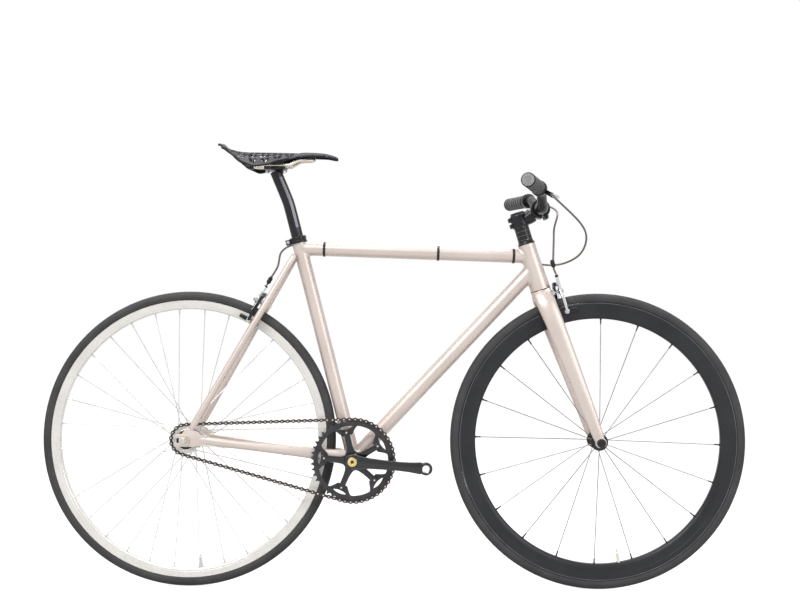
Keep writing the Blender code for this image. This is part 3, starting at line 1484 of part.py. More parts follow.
def make_saddle_shell(holder):
    bm = bmesh.new()
    rows = [[bm.verts.new(saddle_point(station, column)) for column in range(SADDLE_COLUMNS + 1)]
            for station in SADDLE_STATIONS]
    for row in range(len(rows) - 1):
        for column in range(SADDLE_COLUMNS):
            if saddle_opening(row, column):
                continue
            bm.faces.new((rows[row][column], rows[row][column + 1],
                          rows[row + 1][column + 1], rows[row + 1][column]))
    shell = add_bmesh("saddle_shell", bm)
    solid = shell.modifiers.new("thickness", "SOLIDIFY")
    solid.thickness = SADDLE_THICKNESS
    solid.offset = -1.0
    rear_low = rail_height() - RAIL_RADIUS
    rear_high = saddle_height() - 0.0010
    for side in (RIGHT, LEFT):
        end = rail_points(side)[0]
        boss = Vector((end.x - 0.0010, end.y, (rear_low + rear_high) / 2))
        size = (0.0140, 0.0130, rear_high - rear_low)
        fuse(shell, block(f"rail_socket_{SIDE_NAMES[side]}", size, Matrix.Translation(boss)))
        cut(shell, rod(f"rail_socket_bore_{SIDE_NAMES[side]}", end - 0.0006 * X_AXIS,
                       rail_points(side)[1], RAIL_RADIUS + 2 * GAP, sides=COARSE))
    tip = rail_points(RIGHT)[-1]
    nose_low = tip.z + RAIL_RADIUS + GAP
    nose_high = saddle_height() + 0.0010
    boss = Vector((tip.x - 0.0040, 0, (nose_low + nose_high) / 2))
    fuse(shell, block("nose_socket", (0.0180, 0.0200, nose_high - nose_low),
                      Matrix.Translation(boss)))
    complete(shell, CARBON, seat(SEAT_TUBE_LENGTH), holder)


def rail_points(side):
    """Route of one saddle rail, from its rear end to the tip under the nose."""
    height = rail_height()
    head = seatpost_path()[-1]
    half = RAIL_SPACING / 2
    front_x = saddle_tail() + SADDLE_LENGTH * 0.80
    rear_x = saddle_tail() + SADDLE_LENGTH * 0.25
    nose = saddle_height() - SADDLE_NOSE_DROP
    return [
        Vector((rear_x, side * (half + 0.008), height + 0.004)),
        Vector((rear_x + 0.015, side * (half + 0.002), height + 0.0005)),
        Vector((head.x - 0.028, side * half, height)),
        Vector((head.x + 0.028, side * half, height)),
        Vector((head.x + 0.042, side * (half - 0.001), height + 0.005)),
        Vector((head.x + 0.058, side * (half - 0.006), height + 0.0122)),
        Vector((front_x - 0.010, side * 0.010, nose - 0.001)),
        Vector((front_x, side * 0.004, nose)),
    ]


def make_saddle_rails(holder):
    """Both rails as one bent wire that is joined under the nose."""
    points = rail_points(RIGHT) + rail_points(LEFT)[::-1]
    rails = wire("saddle_rails", points, RAIL_RADIUS, 2)
    complete(rails, PALE_RAIL, seat(SEAT_TUBE_LENGTH), holder)


# Brakes

def caliper_frames():
    """Front and rear caliper frames: X out along the bolt, Z up the fork or the stays."""
    front = Matrix((STEER_FORWARD, Y_AXIS, STEER_UP)).transposed().to_4x4()
    front.translation = steer(BRIDGE_DISTANCE, CROWN_RADIUS + GAP)
    rear = Matrix((STAY_BACK, -Y_AXIS, STAY_UP)).transposed().to_4x4()
    rear.translation = bridge_centre() + STAY_BACK * (BRIDGE_RADIUS + GAP)
    return {"front": front, "rear": rear}


def make_caliper_bolt(end, frame, holder):
    """Centre bolt with the bracket that carries the side pivot."""
    name = f"{end}_caliper_bolt"
    depth = 0.0045
    bracket = strip_outline([(0.0, 0.0), (CALIPER_PIVOT.y, CALIPER_PIVOT.z)], (0.0075, 0.0065))
    place = frame @ frame_at(Vector((depth / 2, 0, 0)), X_AXIS, Y_AXIS)
    bolt = plate(name, [bracket], depth, place)
    washer = rod(f"{name}_washer", frame @ Vector((0, 0, 0)), frame @ Vector((depth + 0.001, 0, 0)),
                 0.0080, sides=COARSE)
    fuse(bolt, washer)
    fuse(bolt, rod(f"{name}_shank", frame @ Vector((0.002, 0, 0)), frame @ Vector((0.0270, 0, 0)),
                   CALIPER_BOLT_RADIUS, sides=SMALL))
    pivot_low = frame @ Vector((0.002, CALIPER_PIVOT.y, CALIPER_PIVOT.z))
    pivot_high = frame @ Vector((0.0130, CALIPER_PIVOT.y, CALIPER_PIVOT.z))
    fuse(bolt, rod(f"{name}_side_pin", pivot_low, pivot_high, CALIPER_BOLT_RADIUS, sides=SMALL))
    complete(bolt, SILVER, frame.translation.copy(), holder)


def make_caliper_arm(end, frame, arm, rim_half_width, holder):
    """One brake arm with its shoe. The arm on the cable side turns on the centre bolt."""
    centre = arm == "cable"
    side = -1 if centre else 1
    name = f"{end}_brake_arm_{arm}"
    low = 0.0150 if centre else 0.0055
    pad_face = rim_half_width + PAD_GAP
    pivot = Vector((0, 0, 0)) if centre else CALIPER_PIVOT
    if centre:
        path = [(-0.0240, 0.0330), (-0.0200, 0.0180), (-0.0130, 0.0020), (-0.0230, -0.0130),
                (-0.0265, -0.0300), (-0.0240, -CALIPER_REACH)]
        widths = (0.0045, 0.0050, 0.0085, 0.0055, 0.0045, 0.0045)
    else:
        path = [(-0.0240, 0.0170), (-0.0080, 0.0175), (0.0130, 0.0110), (0.0240, -0.0050),
                (0.0270, -0.0260), (0.0245, -CALIPER_REACH)]
        widths = (0.0045, 0.0050, 0.0065, 0.0065, 0.0050, 0.0045)
    outline = strip_outline(path, widths)
    place = frame @ frame_at(Vector((low + CALIPER_ARM_DEPTH / 2, 0, 0)), X_AXIS, Y_AXIS)
    arm_item = plate(name, [outline], CALIPER_ARM_DEPTH, place)
    boss_low = frame @ Vector((low - 0.0003, pivot.y, pivot.z))
    boss_high = frame @ Vector((low + CALIPER_ARM_DEPTH + 0.0003, pivot.y, pivot.z))
    fuse(arm_item, rod(f"{name}_boss", boss_low, boss_high, 0.0070, sides=COARSE))
    pad_y = side * (pad_face + PAD_THICKNESS / 2)
    pad_place = frame @ Matrix.Translation((low + 0.004, pad_y, -CALIPER_REACH))
    fuse(arm_item, block(f"{name}_shoe", (PAD_LENGTH, PAD_THICKNESS, PAD_HEIGHT), pad_place))
    bore_low = frame @ Vector((low - 0.01, pivot.y, pivot.z))
    bore_high = frame @ Vector((low + 0.02, pivot.y, pivot.z))
    cut(arm_item, rod(f"{name}_bore", bore_low, bore_high, CALIPER_BOLT_RADIUS + GAP,
                      sides=SMALL))
    complete(arm_item, SILVER, frame @ pivot, holder)


def lever_frame(side):
    """Lever frame on the bar: Z out along the bar, X forward of it."""
    inner, outer = grip_line(side)
    along = (outer - inner).normalized()
    place = inner - along * 0.0120
    forward = Vector((math.cos(math.radians(28)), 0, -math.sin(math.radians(28))))
    return frame_at(place, along, forward)


def make_lever_bracket(side, holder):
    name = f"lever_bracket_{SIDE_NAMES[side]}"
    frame = lever_frame(side)
    half = 0.0065
    low = frame @ Vector((0, 0, -half))
    high = frame @ Vector((0, 0, half))
    bracket = rod(name, low, high, BAR_RADIUS + 0.0065, sides=ROUND)
    arm_place = frame @ Matrix.Translation((0.0240, 0, -0.0035))
    fuse(bracket, block(f"{name}_arm", (0.0260, 0.0090, 0.0220), arm_place))
    exit_low = frame @ Vector((LEVER_EXIT_FORWARD, 0, -0.0100))
    exit_high = frame @ Vector((LEVER_EXIT_FORWARD, 0, -LEVER_EXIT_END))
    fuse(bracket, rod(f"{name}_cable_exit", exit_low, exit_high, 0.0048, sides=COARSE))
    cut(bracket, rod(f"{name}_bore", frame @ Vector((0, 0, -0.05)), frame @ Vector((0, 0, 0.05)),
                     BAR_RADIUS + 2 * GAP, sides=COARSE))
    slot_place = frame @ Matrix.Translation((LEVER_PIVOT_FORWARD + 0.004, 0, 0.0100))
    cut(bracket, block(f"{name}_slot", (0.0300, 0.0052, 0.0300), slot_place))
    complete(bracket, BLACK_METAL, STEER_FOOT, holder)


def lever_pivot(side):
    return lever_frame(side) @ Vector((LEVER_PIVOT_FORWARD, 0, 0))


def make_lever_blade(side, holder):
    """Blade that swings towards the grip, drawn in the plane of the bar."""
    name = f"brake_lever_{SIDE_NAMES[side]}"
    frame = lever_frame(side)
    length = LEVER_BLADE_LENGTH
    path = [(LEVER_PIVOT_FORWARD - 0.0010, -0.0030), (LEVER_PIVOT_FORWARD + 0.0060, 0.0120),
            (LEVER_PIVOT_FORWARD + 0.0200, length * 0.32),
            (LEVER_PIVOT_FORWARD + 0.0260, length * 0.60),
            (LEVER_PIVOT_FORWARD + 0.0240, length * 0.84),
            (LEVER_PIVOT_FORWARD + 0.0290, length)]
    widths = (0.0045, 0.0050, 0.0055, 0.0052, 0.0058, 0.0045)
    outline = strip_outline(path, widths)
    flat = frame @ Matrix(((1, 0, 0, 0), (0, 0, -1, 0), (0, 1, 0, 0), (0, 0, 0, 1)))
    blade = plate(name, [outline], 0.0044, flat)
    complete(blade, SILVER, lever_pivot(side), holder)


# Cables

def top_tube_side(share, lift=0.0):
    """Point beside the top tube on the left, where the cable runs."""
    rear = seat(TOP_TUBE_REAR)
    front = steer(HEAD_BOTTOM + TOP_TUBE_FRONT)
    point = rear.lerp(front, share)
    point.y = TOP_TUBE_RADIUS + CABLE_RADIUS + GAP
    point.z += lift
    return point


def make_cable_clip(place, share):
    """Band round the top tube with an ear that holds the cable."""
    name = f"cable_clip_{place}"
    centre = top_tube_side(share)
    axis_point = centre.copy()
    axis_point.y = 0
    rear = seat(TOP_TUBE_REAR)
    front = steer(HEAD_BOTTOM + TOP_TUBE_FRONT)
    along = (front - rear).normalized()
    half = 0.0030
    band_radius = TOP_TUBE_RADIUS + GAP + 0.0012
    band = rod(name, axis_point - along * half, axis_point + along * half, band_radius)
    ear_place = frame_at(centre, along, Y_AXIS)
    fuse(band, block(f"{name}_ear", (0.0080, 0.0080, 2 * half), ear_place))
    cut(band, rod(f"{name}_tube", axis_point - along * 0.02, axis_point + along * 0.02,
                  TOP_TUBE_RADIUS + GAP))
    cut(band, rod(f"{name}_cable", centre - along * 0.02, centre + along * 0.02,
                  CABLE_RADIUS + GAP, sides=COARSE))
    complete(band, PLASTIC)


def anchor_points(frame):
    """End of a cable above its caliper and the point it leaves by."""
    end = frame @ Vector((ANCHOR_OUT, -ANCHOR_SIDE, ANCHOR_RISE))
    return end, end + frame.to_3x3() @ Vector((0, 0, 0.0215))


def lever_exit(side, reach):
    """Point where a cable leaves its lever, and the point it leaves by."""
    frame = lever_frame(side)
    end = frame @ Vector((LEVER_EXIT_FORWARD, 0, -LEVER_EXIT_END - CABLE_END_GAP))
    return end, frame @ Vector((LEVER_EXIT_FORWARD + 0.0015, 0, -reach))


def route_point(rise, forward, side):
    """Point of a cable's free run before the head tube, in shares of its sizes."""
    return steer(HEAD_BOTTOM + rise * HEAD_TUBE_LENGTH, forward * LOOP_FORWARD,
                 side * LOOP_SIDE)


def make_rear_cable():
    frame = caliper_frames()["rear"]
    anchor, lead_in = anchor_points(frame)
    above = frame @ Vector((ANCHOR_OUT, -ANCHOR_SIDE, 0.0900))
    behind = seat(TOP_TUBE_REAR + 0.014, SEAT_TUBE_RADIUS + 0.006, SEAT_TUBE_RADIUS + 0.003)
    beside = seat(TOP_TUBE_REAR + 0.006, 0.004, SEAT_TUBE_RADIUS + 0.0065)
    bend = (above + behind) / 2 + Vector((-0.0075, 0.002, 0.0075))
    lead = smooth_path([anchor, lead_in, above, bend, behind, beside, top_tube_side(0.06)],
                       CABLE_STEPS)
    run = [top_tube_side(share) for share in (0.12, 0.30, 0.52, 0.75)]
    end = top_tube_side(TOP_CABLE_END)
    cable = wire("rear_brake_cable", lead + run + [end], CABLE_RADIUS, 2)
    complete(cable, HOUSING)


def rear_loop_points():
    """Route of the loop from the top tube to the right lever."""
    start = top_tube_side(TOP_CABLE_END)
    along = (start - top_tube_side(0.75)).normalized()
    lever_end, lever_lead = lever_exit(RIGHT, 0.0600)
    return [
        start + along * CABLE_END_GAP,
        start + along * 0.022 + Vector((0, 0.006, -0.001)),
        route_point(0.543, 0.122, 0.775),
        route_point(0.400, 0.484, 0.500),
        route_point(0.467, 0.820, 0.0),
        route_point(0.737, 1.0, -0.500),
        route_point(1.088, 0.962, -1.0),
        lever_lead,
        lever_end,
    ]


def make_rear_loop():
    path = smooth_path(rear_loop_points(), CABLE_STEPS)
    loop = wire("rear_brake_loop", path, CABLE_RADIUS, 2)
    complete(loop, HOUSING)


def make_front_cable(holder):
    frame = caliper_frames()["front"]
    anchor, lead_in = anchor_points(frame)
    lever_end, lever_lead = lever_exit(LEFT, 0.0560)
    points = [anchor, lead_in, route_point(0.894, 0.450, -0.500),
              route_point(1.152, 0.534, -0.200), route_point(1.477, 0.696, 0.500),
              lever_lead, lever_end]
    path = smooth_path(points, CABLE_STEPS)
    cable = wire("front_brake_cable", path, CABLE_RADIUS, 2)
    complete(cable, HOUSING, STEER_FOOT, holder)


# Front axle

def make_front_axle(holder):
    """Hollow axle's outline with the skewer nut on the drive side."""
    inner = FRONT_HUB_WIDTH / 2 + GAP + BLADE_TIP_WIDTH + GAP
    end = inner + 0.0100
    outline = [
        (0, -inner + 0.003),
        (FRONT_AXLE_RADIUS, -inner + 0.003),
        (FRONT_AXLE_RADIUS, inner),
        (0.0100, inner),
        (0.0100, end - 0.002),
        (0.0080, end),
        (0, end),
    ]
    axle = turned("front_axle", outline[::-1], frame_at(FRONT_AXLE, -Y_AXIS), COARSE)
    complete(axle, BLACK_METAL, FRONT_AXLE, holder)


def cam_centre():
    """Centre of the quick-release cam, outside the left fork tip."""
    inner = FRONT_HUB_WIDTH / 2 + 2 * GAP + BLADE_TIP_WIDTH
    return FRONT_AXLE + (inner + CAM_RADIUS) * Y_AXIS


def make_quick_release(holder):
    """Cam lever on the left fork end, closed upwards along the blade."""
    centre = cam_centre()
    half = CAM_WIDTH / 2
    lever = rod("quick_release_lever", centre - half * STEER_FORWARD,
                centre + half * STEER_FORWARD, CAM_RADIUS, x_hint=Y_AXIS)
    path = [(0.0, 0.0), (0.0, 0.020), (0.002, 0.045), (0.003, 0.060)]
    widths = (0.0060, 0.0050, 0.0058, 0.0045)
    place = frame_at(centre + 0.0010 * Y_AXIS, -Y_AXIS, STEER_FORWARD)
    fuse(lever, plate("quick_release_arm", [strip_outline(path, widths)], 0.0045, place))
    complete(lever, SILVER, centre, holder)


def main():
    steering = pivot_empty("steering_axis", STEER_FOOT, STEER_UP)
    front_wheel = pivot_empty("front_wheel_axis", FRONT_AXLE, Y_AXIS * -1, steering)
    rear_wheel = pivot_empty("rear_wheel_axis", REAR_AXLE, Y_AXIS * -1)
    crank = pivot_empty("crank_axis", BB, Y_AXIS * -1)
    freewheel = pivot_empty("freewheel_axis", REAR_AXLE, Y_AXIS * -1)
    post = pivot_empty("seatpost_axis", seat(SEAT_TUBE_LENGTH), SEAT_UP)

    make_head_tube()
    make_top_tube()
    make_down_tube()
    make_seat_tube()
    make_shell()
    make_bridge()
    make_bottom_bracket_unit()
    for side in (RIGHT, LEFT):
        make_seatstay(side)
        make_chainstay(side)
        make_axle_nut(side)
    make_rear_axle()
    make_collar()
    make_bearing("headset_bearing_lower", HEAD_BOTTOM + GAP)
    make_bearing("headset_bearing_upper", HEAD_TOP - BEARING_HEIGHT - GAP)

    spindle_end = make_spindle(crank)
    make_right_crank(crank, spindle_end)
    make_left_crank(crank, spindle_end)
    make_chainring(crank)
    make_chain()
    make_cog(freewheel)
    make_rear_wheel(rear_wheel)

    make_fork(steering)
    make_headset_cover(steering)
    make_spacers(steering)
    make_stem(steering)
    make_faceplate(steering)
    make_top_cap(steering)
    make_handlebar(steering)
    make_front_axle(steering)
    make_quick_release(steering)
    make_front_wheel(front_wheel)

    make_seatpost(post)
    make_saddle_clamp(post)
    make_saddle_rails(post)
    make_saddle_shell(post)

    frames = caliper_frames()
    rim_halves = {"front": FRONT_RIM_WIDTH / 2, "rear": REAR_RIM_WIDTH / 2}
    for end, frame in frames.items():
        holder = steering if end == "front" else None
        make_caliper_bolt(end, frame, holder)
        for arm in ("cable", "far"):
            make_caliper_arm(end, frame, arm, rim_halves[end], holder)
    for side in (RIGHT, LEFT):
        make_grip(side, steering)
        make_lever_bracket(side, steering)
        make_lever_blade(side, steering)
    for place, share in CLIP_SHARES.items():
        make_cable_clip(place, share)
    make_rear_cable()
    make_rear_loop()
    make_front_cable(steering)


clear_scene()
PARTS = new_collection("single_speed_bicycle")
HELPERS = new_collection("cutters")
main()
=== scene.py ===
from math import asin, atan2, copysign, cos, degrees, exp, floor, radians, sin, pi

import bmesh
import bpy
from mathutils import Matrix, Vector


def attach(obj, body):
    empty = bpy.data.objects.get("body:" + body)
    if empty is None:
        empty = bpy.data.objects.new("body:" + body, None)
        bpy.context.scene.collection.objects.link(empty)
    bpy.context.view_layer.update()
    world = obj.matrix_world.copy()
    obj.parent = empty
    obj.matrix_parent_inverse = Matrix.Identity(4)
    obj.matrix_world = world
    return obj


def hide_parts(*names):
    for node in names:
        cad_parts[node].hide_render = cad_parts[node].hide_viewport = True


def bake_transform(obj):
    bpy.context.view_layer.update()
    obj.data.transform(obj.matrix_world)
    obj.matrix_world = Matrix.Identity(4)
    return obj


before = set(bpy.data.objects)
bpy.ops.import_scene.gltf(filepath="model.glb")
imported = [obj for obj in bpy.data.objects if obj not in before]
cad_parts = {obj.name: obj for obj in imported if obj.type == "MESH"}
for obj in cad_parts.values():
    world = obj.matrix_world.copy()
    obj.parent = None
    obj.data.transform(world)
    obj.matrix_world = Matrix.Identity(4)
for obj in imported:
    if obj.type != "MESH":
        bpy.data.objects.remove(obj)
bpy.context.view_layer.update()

# Single-speed bicycle: finishes, fine shapes, floor, light and camera.
# Metres, +X forward, -Y the drive side, +Z up, as in the part.

X = Vector((1, 0, 0))
Y = Vector((0, 1, 0))
Z = Vector((0, 0, 1))
ORIGIN = Vector((0, 0, 0))
RIGHT = -1
LEFT = 1
SIDE_NAMES = {RIGHT: "right", LEFT: "left"}
TURN = 2 * pi
BOTH_ENDS = (True, True)

# Sizes repeated from the part
REAR_AXLE = Vector((-0.4662, 0, 0.336))
FRONT_AXLE = Vector((0.4662, 0, 0.336))
BB = Vector((-0.089164, 0, 0.2915))
SEAT_ANGLE = radians(75.3)
HEAD_ANGLE = radians(72.9)
SEAT_UP = Vector((-cos(SEAT_ANGLE), 0, sin(SEAT_ANGLE)))
SEAT_BACK = Vector((-sin(SEAT_ANGLE), 0, -cos(SEAT_ANGLE)))
STEER_UP = Vector((-cos(HEAD_ANGLE), 0, sin(HEAD_ANGLE)))
STEER_FORWARD = Vector((sin(HEAD_ANGLE), 0, cos(HEAD_ANGLE)))
FORK_RAKE = 0.0235
STEER_FOOT = FRONT_AXLE - FORK_RAKE * STEER_FORWARD
HEAD_BOTTOM = 0.367
HEAD_LENGTH = 0.1086
HEAD_TOP_RADIUS = 0.0195
HEAD_BOTTOM_RADIUS = 0.023
SEAT_TUBE_LENGTH = 0.5205
SEAT_TUBE_RADIUS = 0.016
TOP_TUBE_RADIUS = 0.0155
DOWN_TUBE_RADIUS = 0.017
SHELL_RADIUS = 0.02
SHELL_HALF = 0.034
STAY_RADIUS = 0.0078
TOP_TUBE_REAR = 0.497
TOP_TUBE_FRONT = 0.0795
DOWN_TUBE_FRONT = 0.0518
GAP = 0.0003
COVER_HEIGHT = 0.0105
SPACER_HEIGHT = 0.01
SPACER_COUNT = 3
SPACER_RADIUS = 0.017
STEERER_BORE = 0.0146
STEERER_RADIUS = 0.0143
COVER_BOTTOM = HEAD_BOTTOM + HEAD_LENGTH + GAP
SPACERS_BOTTOM = COVER_BOTTOM + COVER_HEIGHT + GAP
STEM_BOTTOM = SPACERS_BOTTOM + SPACER_COUNT * SPACER_HEIGHT + GAP
STEM_HEIGHT = 0.03
STEM_TOP = STEM_BOTTOM + STEM_HEIGHT
STEM_MIDDLE = (STEM_BOTTOM + STEM_TOP) / 2
STEM_RADIUS = 0.02
BAR_CLAMP_RADIUS = 0.0159
BAR_RADIUS = 0.0111
CHAIN_PITCH = 0.0127
CHAIN_PITCHES = 92
RING_TEETH = 46
COG_TEETH = 17
CHAINLINE = 0.043
SPROCKET_THICKNESS = 0.0027
CRANK_ANGLE = radians(-5)
CRANK_LENGTH = 0.165
CRANK_FACE = 0.076
CRANK_THICKNESS = 0.0125
BOLT_CIRCLE = 0.13
TYRE_RADIUS = 0.336
TYRE_HALF = 0.0125
RIM_BED = 0.31603
FORK_TIP_FACE = 0.05
TRACK_SIDE = 0.0603
TRACK_THICKNESS = 0.006
STAY_FOOT = 0.03
STAY_FOOT_SIDE = 0.063
STAY_TOP_SIDE = 0.0125
BRIDGE_TO_AXLE = 0.352
BRIDGE_RADIUS = 0.007


def steer(up, forward=0, side=0):
    return STEER_FOOT + up * STEER_UP + forward * STEER_FORWARD + side * Y


def seat(up, back=0, side=0):
    return BB + up * SEAT_UP + back * SEAT_BACK + side * Y


BAR_CENTRE = steer(STEM_MIDDLE + 0.012, 0.0524)
SEATSTAY_TOP = seat(SEAT_TUBE_LENGTH - 0.037, 0.0163)
STAY_UP = (SEATSTAY_TOP - REAR_AXLE).normalized()
STAY_BACK = Vector((-STAY_UP.z, 0, STAY_UP.x))


def spin(angle):
    """Direction in the side plane."""
    return Vector((cos(angle), 0, sin(angle)))


def frame_at(origin, z_axis, x_hint=X):
    z = z_axis.normalized()
    y = z.cross(x_hint).normalized()
    matrix = Matrix((y.cross(z), y, z)).transposed().to_4x4()
    matrix.translation = origin
    return matrix


def side_frame(origin):
    """Lays an outline drawn in X and Y into the side plane, facing the drive side."""
    return frame_at(origin, -Y)


def steer_frame(up):
    """Place on the steering line, Z up that line."""
    return frame_at(steer(up), STEER_UP)


def at(place, x, y, z):
    """Point given in the measures of a place."""
    return place @ Vector((x, y, z))


def shifted(x, y, z):
    return Matrix.Translation((x, y, z))


def clamp(value):
    return min(max(value, 0), 1)


def ease(share):
    return share * share * (3 - 2 * share)


# Finishes

def feed(tree, socket, value):
    """Give a socket a constant or the output of another node."""
    if isinstance(value, bpy.types.NodeSocket):
        tree.links.new(value, socket)
    else:
        socket.default_value = (*value, 1) if socket.type == "RGBA" else value


def add_node(tree, kind, values=None, **settings):
    """New node with its settings and with values for its sockets."""
    node = tree.nodes.new(kind)
    for name, setting in settings.items():
        setattr(node, name, setting)
    for key, value in (values or {}).items():
        feed(tree, node.inputs[key], value)
    return node


def start_material(name, metallic, coat=0, coat_roughness=0.1, gloss=0.5):
    material = bpy.data.materials.new(name)
    material.use_nodes = True
    tree = material.node_tree
    shader = tree.nodes["Principled BSDF"]
    for socket, value in (("Metallic", metallic), ("Specular IOR Level", gloss),
                          ("Coat Weight", coat), ("Coat Roughness", coat_roughness)):
        feed(tree, shader.inputs[socket], value)
    return material, tree, shader


def coordinates(tree, use_grain=False, scale=(1, 1, 1)):
    """Object coordinates, or the piece's own grain map in metres, stretched by scale."""
    if use_grain:
        source = add_node(tree, "ShaderNodeUVMap", uv_map="grain").outputs["UV"]
    else:
        source = add_node(tree, "ShaderNodeTexCoord").outputs["Object"]
    return add_node(tree, "ShaderNodeMapping", {"Vector": source, "Scale": scale}).outputs["Vector"]


def split(tree, vector):
    return add_node(tree, "ShaderNodeSeparateXYZ", {"Vector": vector}).outputs


def noise(tree, scale, detail=4, roughness=0.5, vector=None):
    return add_node(tree, "ShaderNodeTexNoise", {
        "Vector": coordinates(tree) if vector is None else vector, "Scale": scale,
        "Detail": detail, "Roughness": roughness}).outputs["Fac"]


def ramp(tree, value, *stops):
    node = add_node(tree, "ShaderNodeValToRGB", {"Fac": value})
    for element, (place, colour) in zip(node.color_ramp.elements, stops):
        element.position = place
        element.color = (*colour, 1)
    return node.outputs["Color"]


def spread(tree, value, low, high):
    """The middle half of a noise, stretched to low and high."""
    return add_node(tree, "ShaderNodeMapRange", {
        "Value": value, "From Min": 0.25, "From Max": 0.75, "To Min": low,
        "To Max": high}).outputs["Result"]


def calc(tree, operation, first, second=0.5):
    return add_node(tree, "ShaderNodeMath", {0: first, 1: second}, operation=operation).outputs[0]


def wave(tree, value, count):
    return calc(tree, "SINE", calc(tree, "MULTIPLY", value, count))


def blend_colours(tree, share, first, second, mode="MIX"):
    return add_node(tree, "ShaderNodeMix", {0: share, 6: first, 7: second},
                    data_type="RGBA", blend_type=mode).outputs[2]


def dress(tree, shader, colour, roughness, height, depth):
    """Give the shader its colour, its roughness and a relief of the depth."""
    bump = add_node(tree, "ShaderNodeBump", {"Height": height, "Distance": depth, "Strength": 1})
    for socket, value in (("Base Color", colour), ("Roughness", roughness),
                          ("Normal", bump.outputs["Normal"])):
        feed(tree, shader.inputs[socket], value)


def worked_finish(name, dark, light, metallic, smooth, rough, grain, depth, coat, cloud,
                  speck=None, gloss=0.5, coat_roughness=0.1, streak=0.6):
    """Finish with clouds of colour, a fine grain in colour, roughness and height.

    grain is a count for each metre, or three of them along the piece's own grain map.
    """
    material, tree, shader = start_material(name, metallic, coat, coat_roughness, gloss)
    clouds = noise(tree, cloud)
    mapped = isinstance(grain, tuple)
    fine = noise(tree, 1, 3, 0.6, coordinates(tree, mapped, grain if mapped else (grain,) * 3))
    colour = ramp(tree, clouds, (0.3, dark), (0.72, light))
    tint = ramp(tree, fine, (0.3, (0.8, 0.8, 0.8)), (0.7, (1, 1, 1)))
    colour = blend_colours(tree, streak, colour, tint, "MULTIPLY")
    if speck:
        dust = noise(tree, 190, 5, 0.7)
        mask = ramp(tree, dust, (0.6, (0, 0, 0)), (0.74, (1, 1, 1)))
        colour = blend_colours(tree, mask, colour, speck)
    mixed = calc(tree, "ADD", calc(tree, "MULTIPLY", fine, 0.6),
                 calc(tree, "MULTIPLY", clouds, 0.4))
    dress(tree, shader, colour, spread(tree, mixed, smooth, rough), fine, depth)
    return material


def carbon_finish(name, bands=1900):
    """Dark laminate whose fibre bands cross at an angle under a thin clear coat."""
    material, tree, shader = start_material(name, 0, 0.12, 0.2, 0.22)
    parts = split(tree, coordinates(tree, True))
    one, two = (wave(tree, calc(tree, way, parts["X"], parts["Y"]), bands)
                for way in ("ADD", "SUBTRACT"))
    weave = calc(tree, "MULTIPLY", calc(tree, "MULTIPLY", one, two), 0.25)
    weave = calc(tree, "ADD", weave, 0.5)
    clouds = noise(tree, 11)
    colour = ramp(tree, weave, (0.25, (0.013, 0.014, 0.016)), (0.75, (0.03, 0.031, 0.035)))
    worn = ramp(tree, clouds, (0.35, (0.75, 0.75, 0.78)), (0.75, (1.3, 1.28, 1.25)))
    dress(tree, shader, blend_colours(tree, 1, colour, worn, "MULTIPLY"),
          spread(tree, clouds, 0.3, 0.46), weave, 0.00004)
    return material


def tread_finish(name, crown=0.0273, cuts_from=0.0045, cuts_to=0.0115):
    """Rubber with slanted tread cuts on both shoulders and fine pores in its height and roughness.
    """
    material, tree, shader = start_material(name, 0, gloss=0.25)
    parts = split(tree, coordinates(tree, True))
    aside = calc(tree, "ABSOLUTE", calc(tree, "SUBTRACT", parts["Y"], crown))
    slant = calc(tree, "ADD", parts["X"], calc(tree, "MULTIPLY", aside, 0.8))
    cuts = calc(tree, "GREATER_THAN", wave(tree, slant, 1400), 0.55)
    shoulder = calc(tree, "MULTIPLY", calc(tree, "GREATER_THAN", aside, cuts_from),
                    calc(tree, "LESS_THAN", aside, cuts_to))
    cuts = calc(tree, "MULTIPLY", cuts, shoulder)
    pores = noise(tree, 1500, 3, 0.7)
    colour = ramp(tree, noise(tree, 17), (0.3, (0.046, 0.046, 0.049)),
                  (0.75, (0.078, 0.076, 0.078)))
    # Painted shade: the cuts are only a bump, and their darker colour stands in for the shade in
    # the grooves.
    colour = blend_colours(tree, calc(tree, "MULTIPLY", cuts, 0.7), colour, (0.028, 0.028, 0.029))
    height = calc(tree, "SUBTRACT", calc(tree, "MULTIPLY", pores, 0.12), cuts)
    dress(tree, shader, colour, spread(tree, pores, 0.55, 0.8), height, 0.00025)
    return material


def turned_finish(name, dark, light, metallic, centre, marks, smooth, rough):
    """Metal with fine turning marks round a centre."""
    material, tree, shader = start_material(name, metallic)
    place = add_node(tree, "ShaderNodeTexCoord").outputs["Object"]
    parts = split(tree, add_node(tree, "ShaderNodeVectorMath", {0: place, 1: centre},
                                 operation="SUBTRACT").outputs["Vector"])
    squared = calc(tree, "ADD", calc(tree, "POWER", parts["X"], 2),
                   calc(tree, "POWER", parts["Z"], 2))
    rings = wave(tree, calc(tree, "SQRT", squared), marks)
    stain = noise(tree, 60, 5, 0.6)
    height = calc(tree, "ADD", calc(tree, "MULTIPLY", rings, 0.5), stain)
    dress(tree, shader, ramp(tree, stain, (0.32, dark), (0.7, light)),
          spread(tree, stain, smooth, rough), height, 0.00003)
    return material


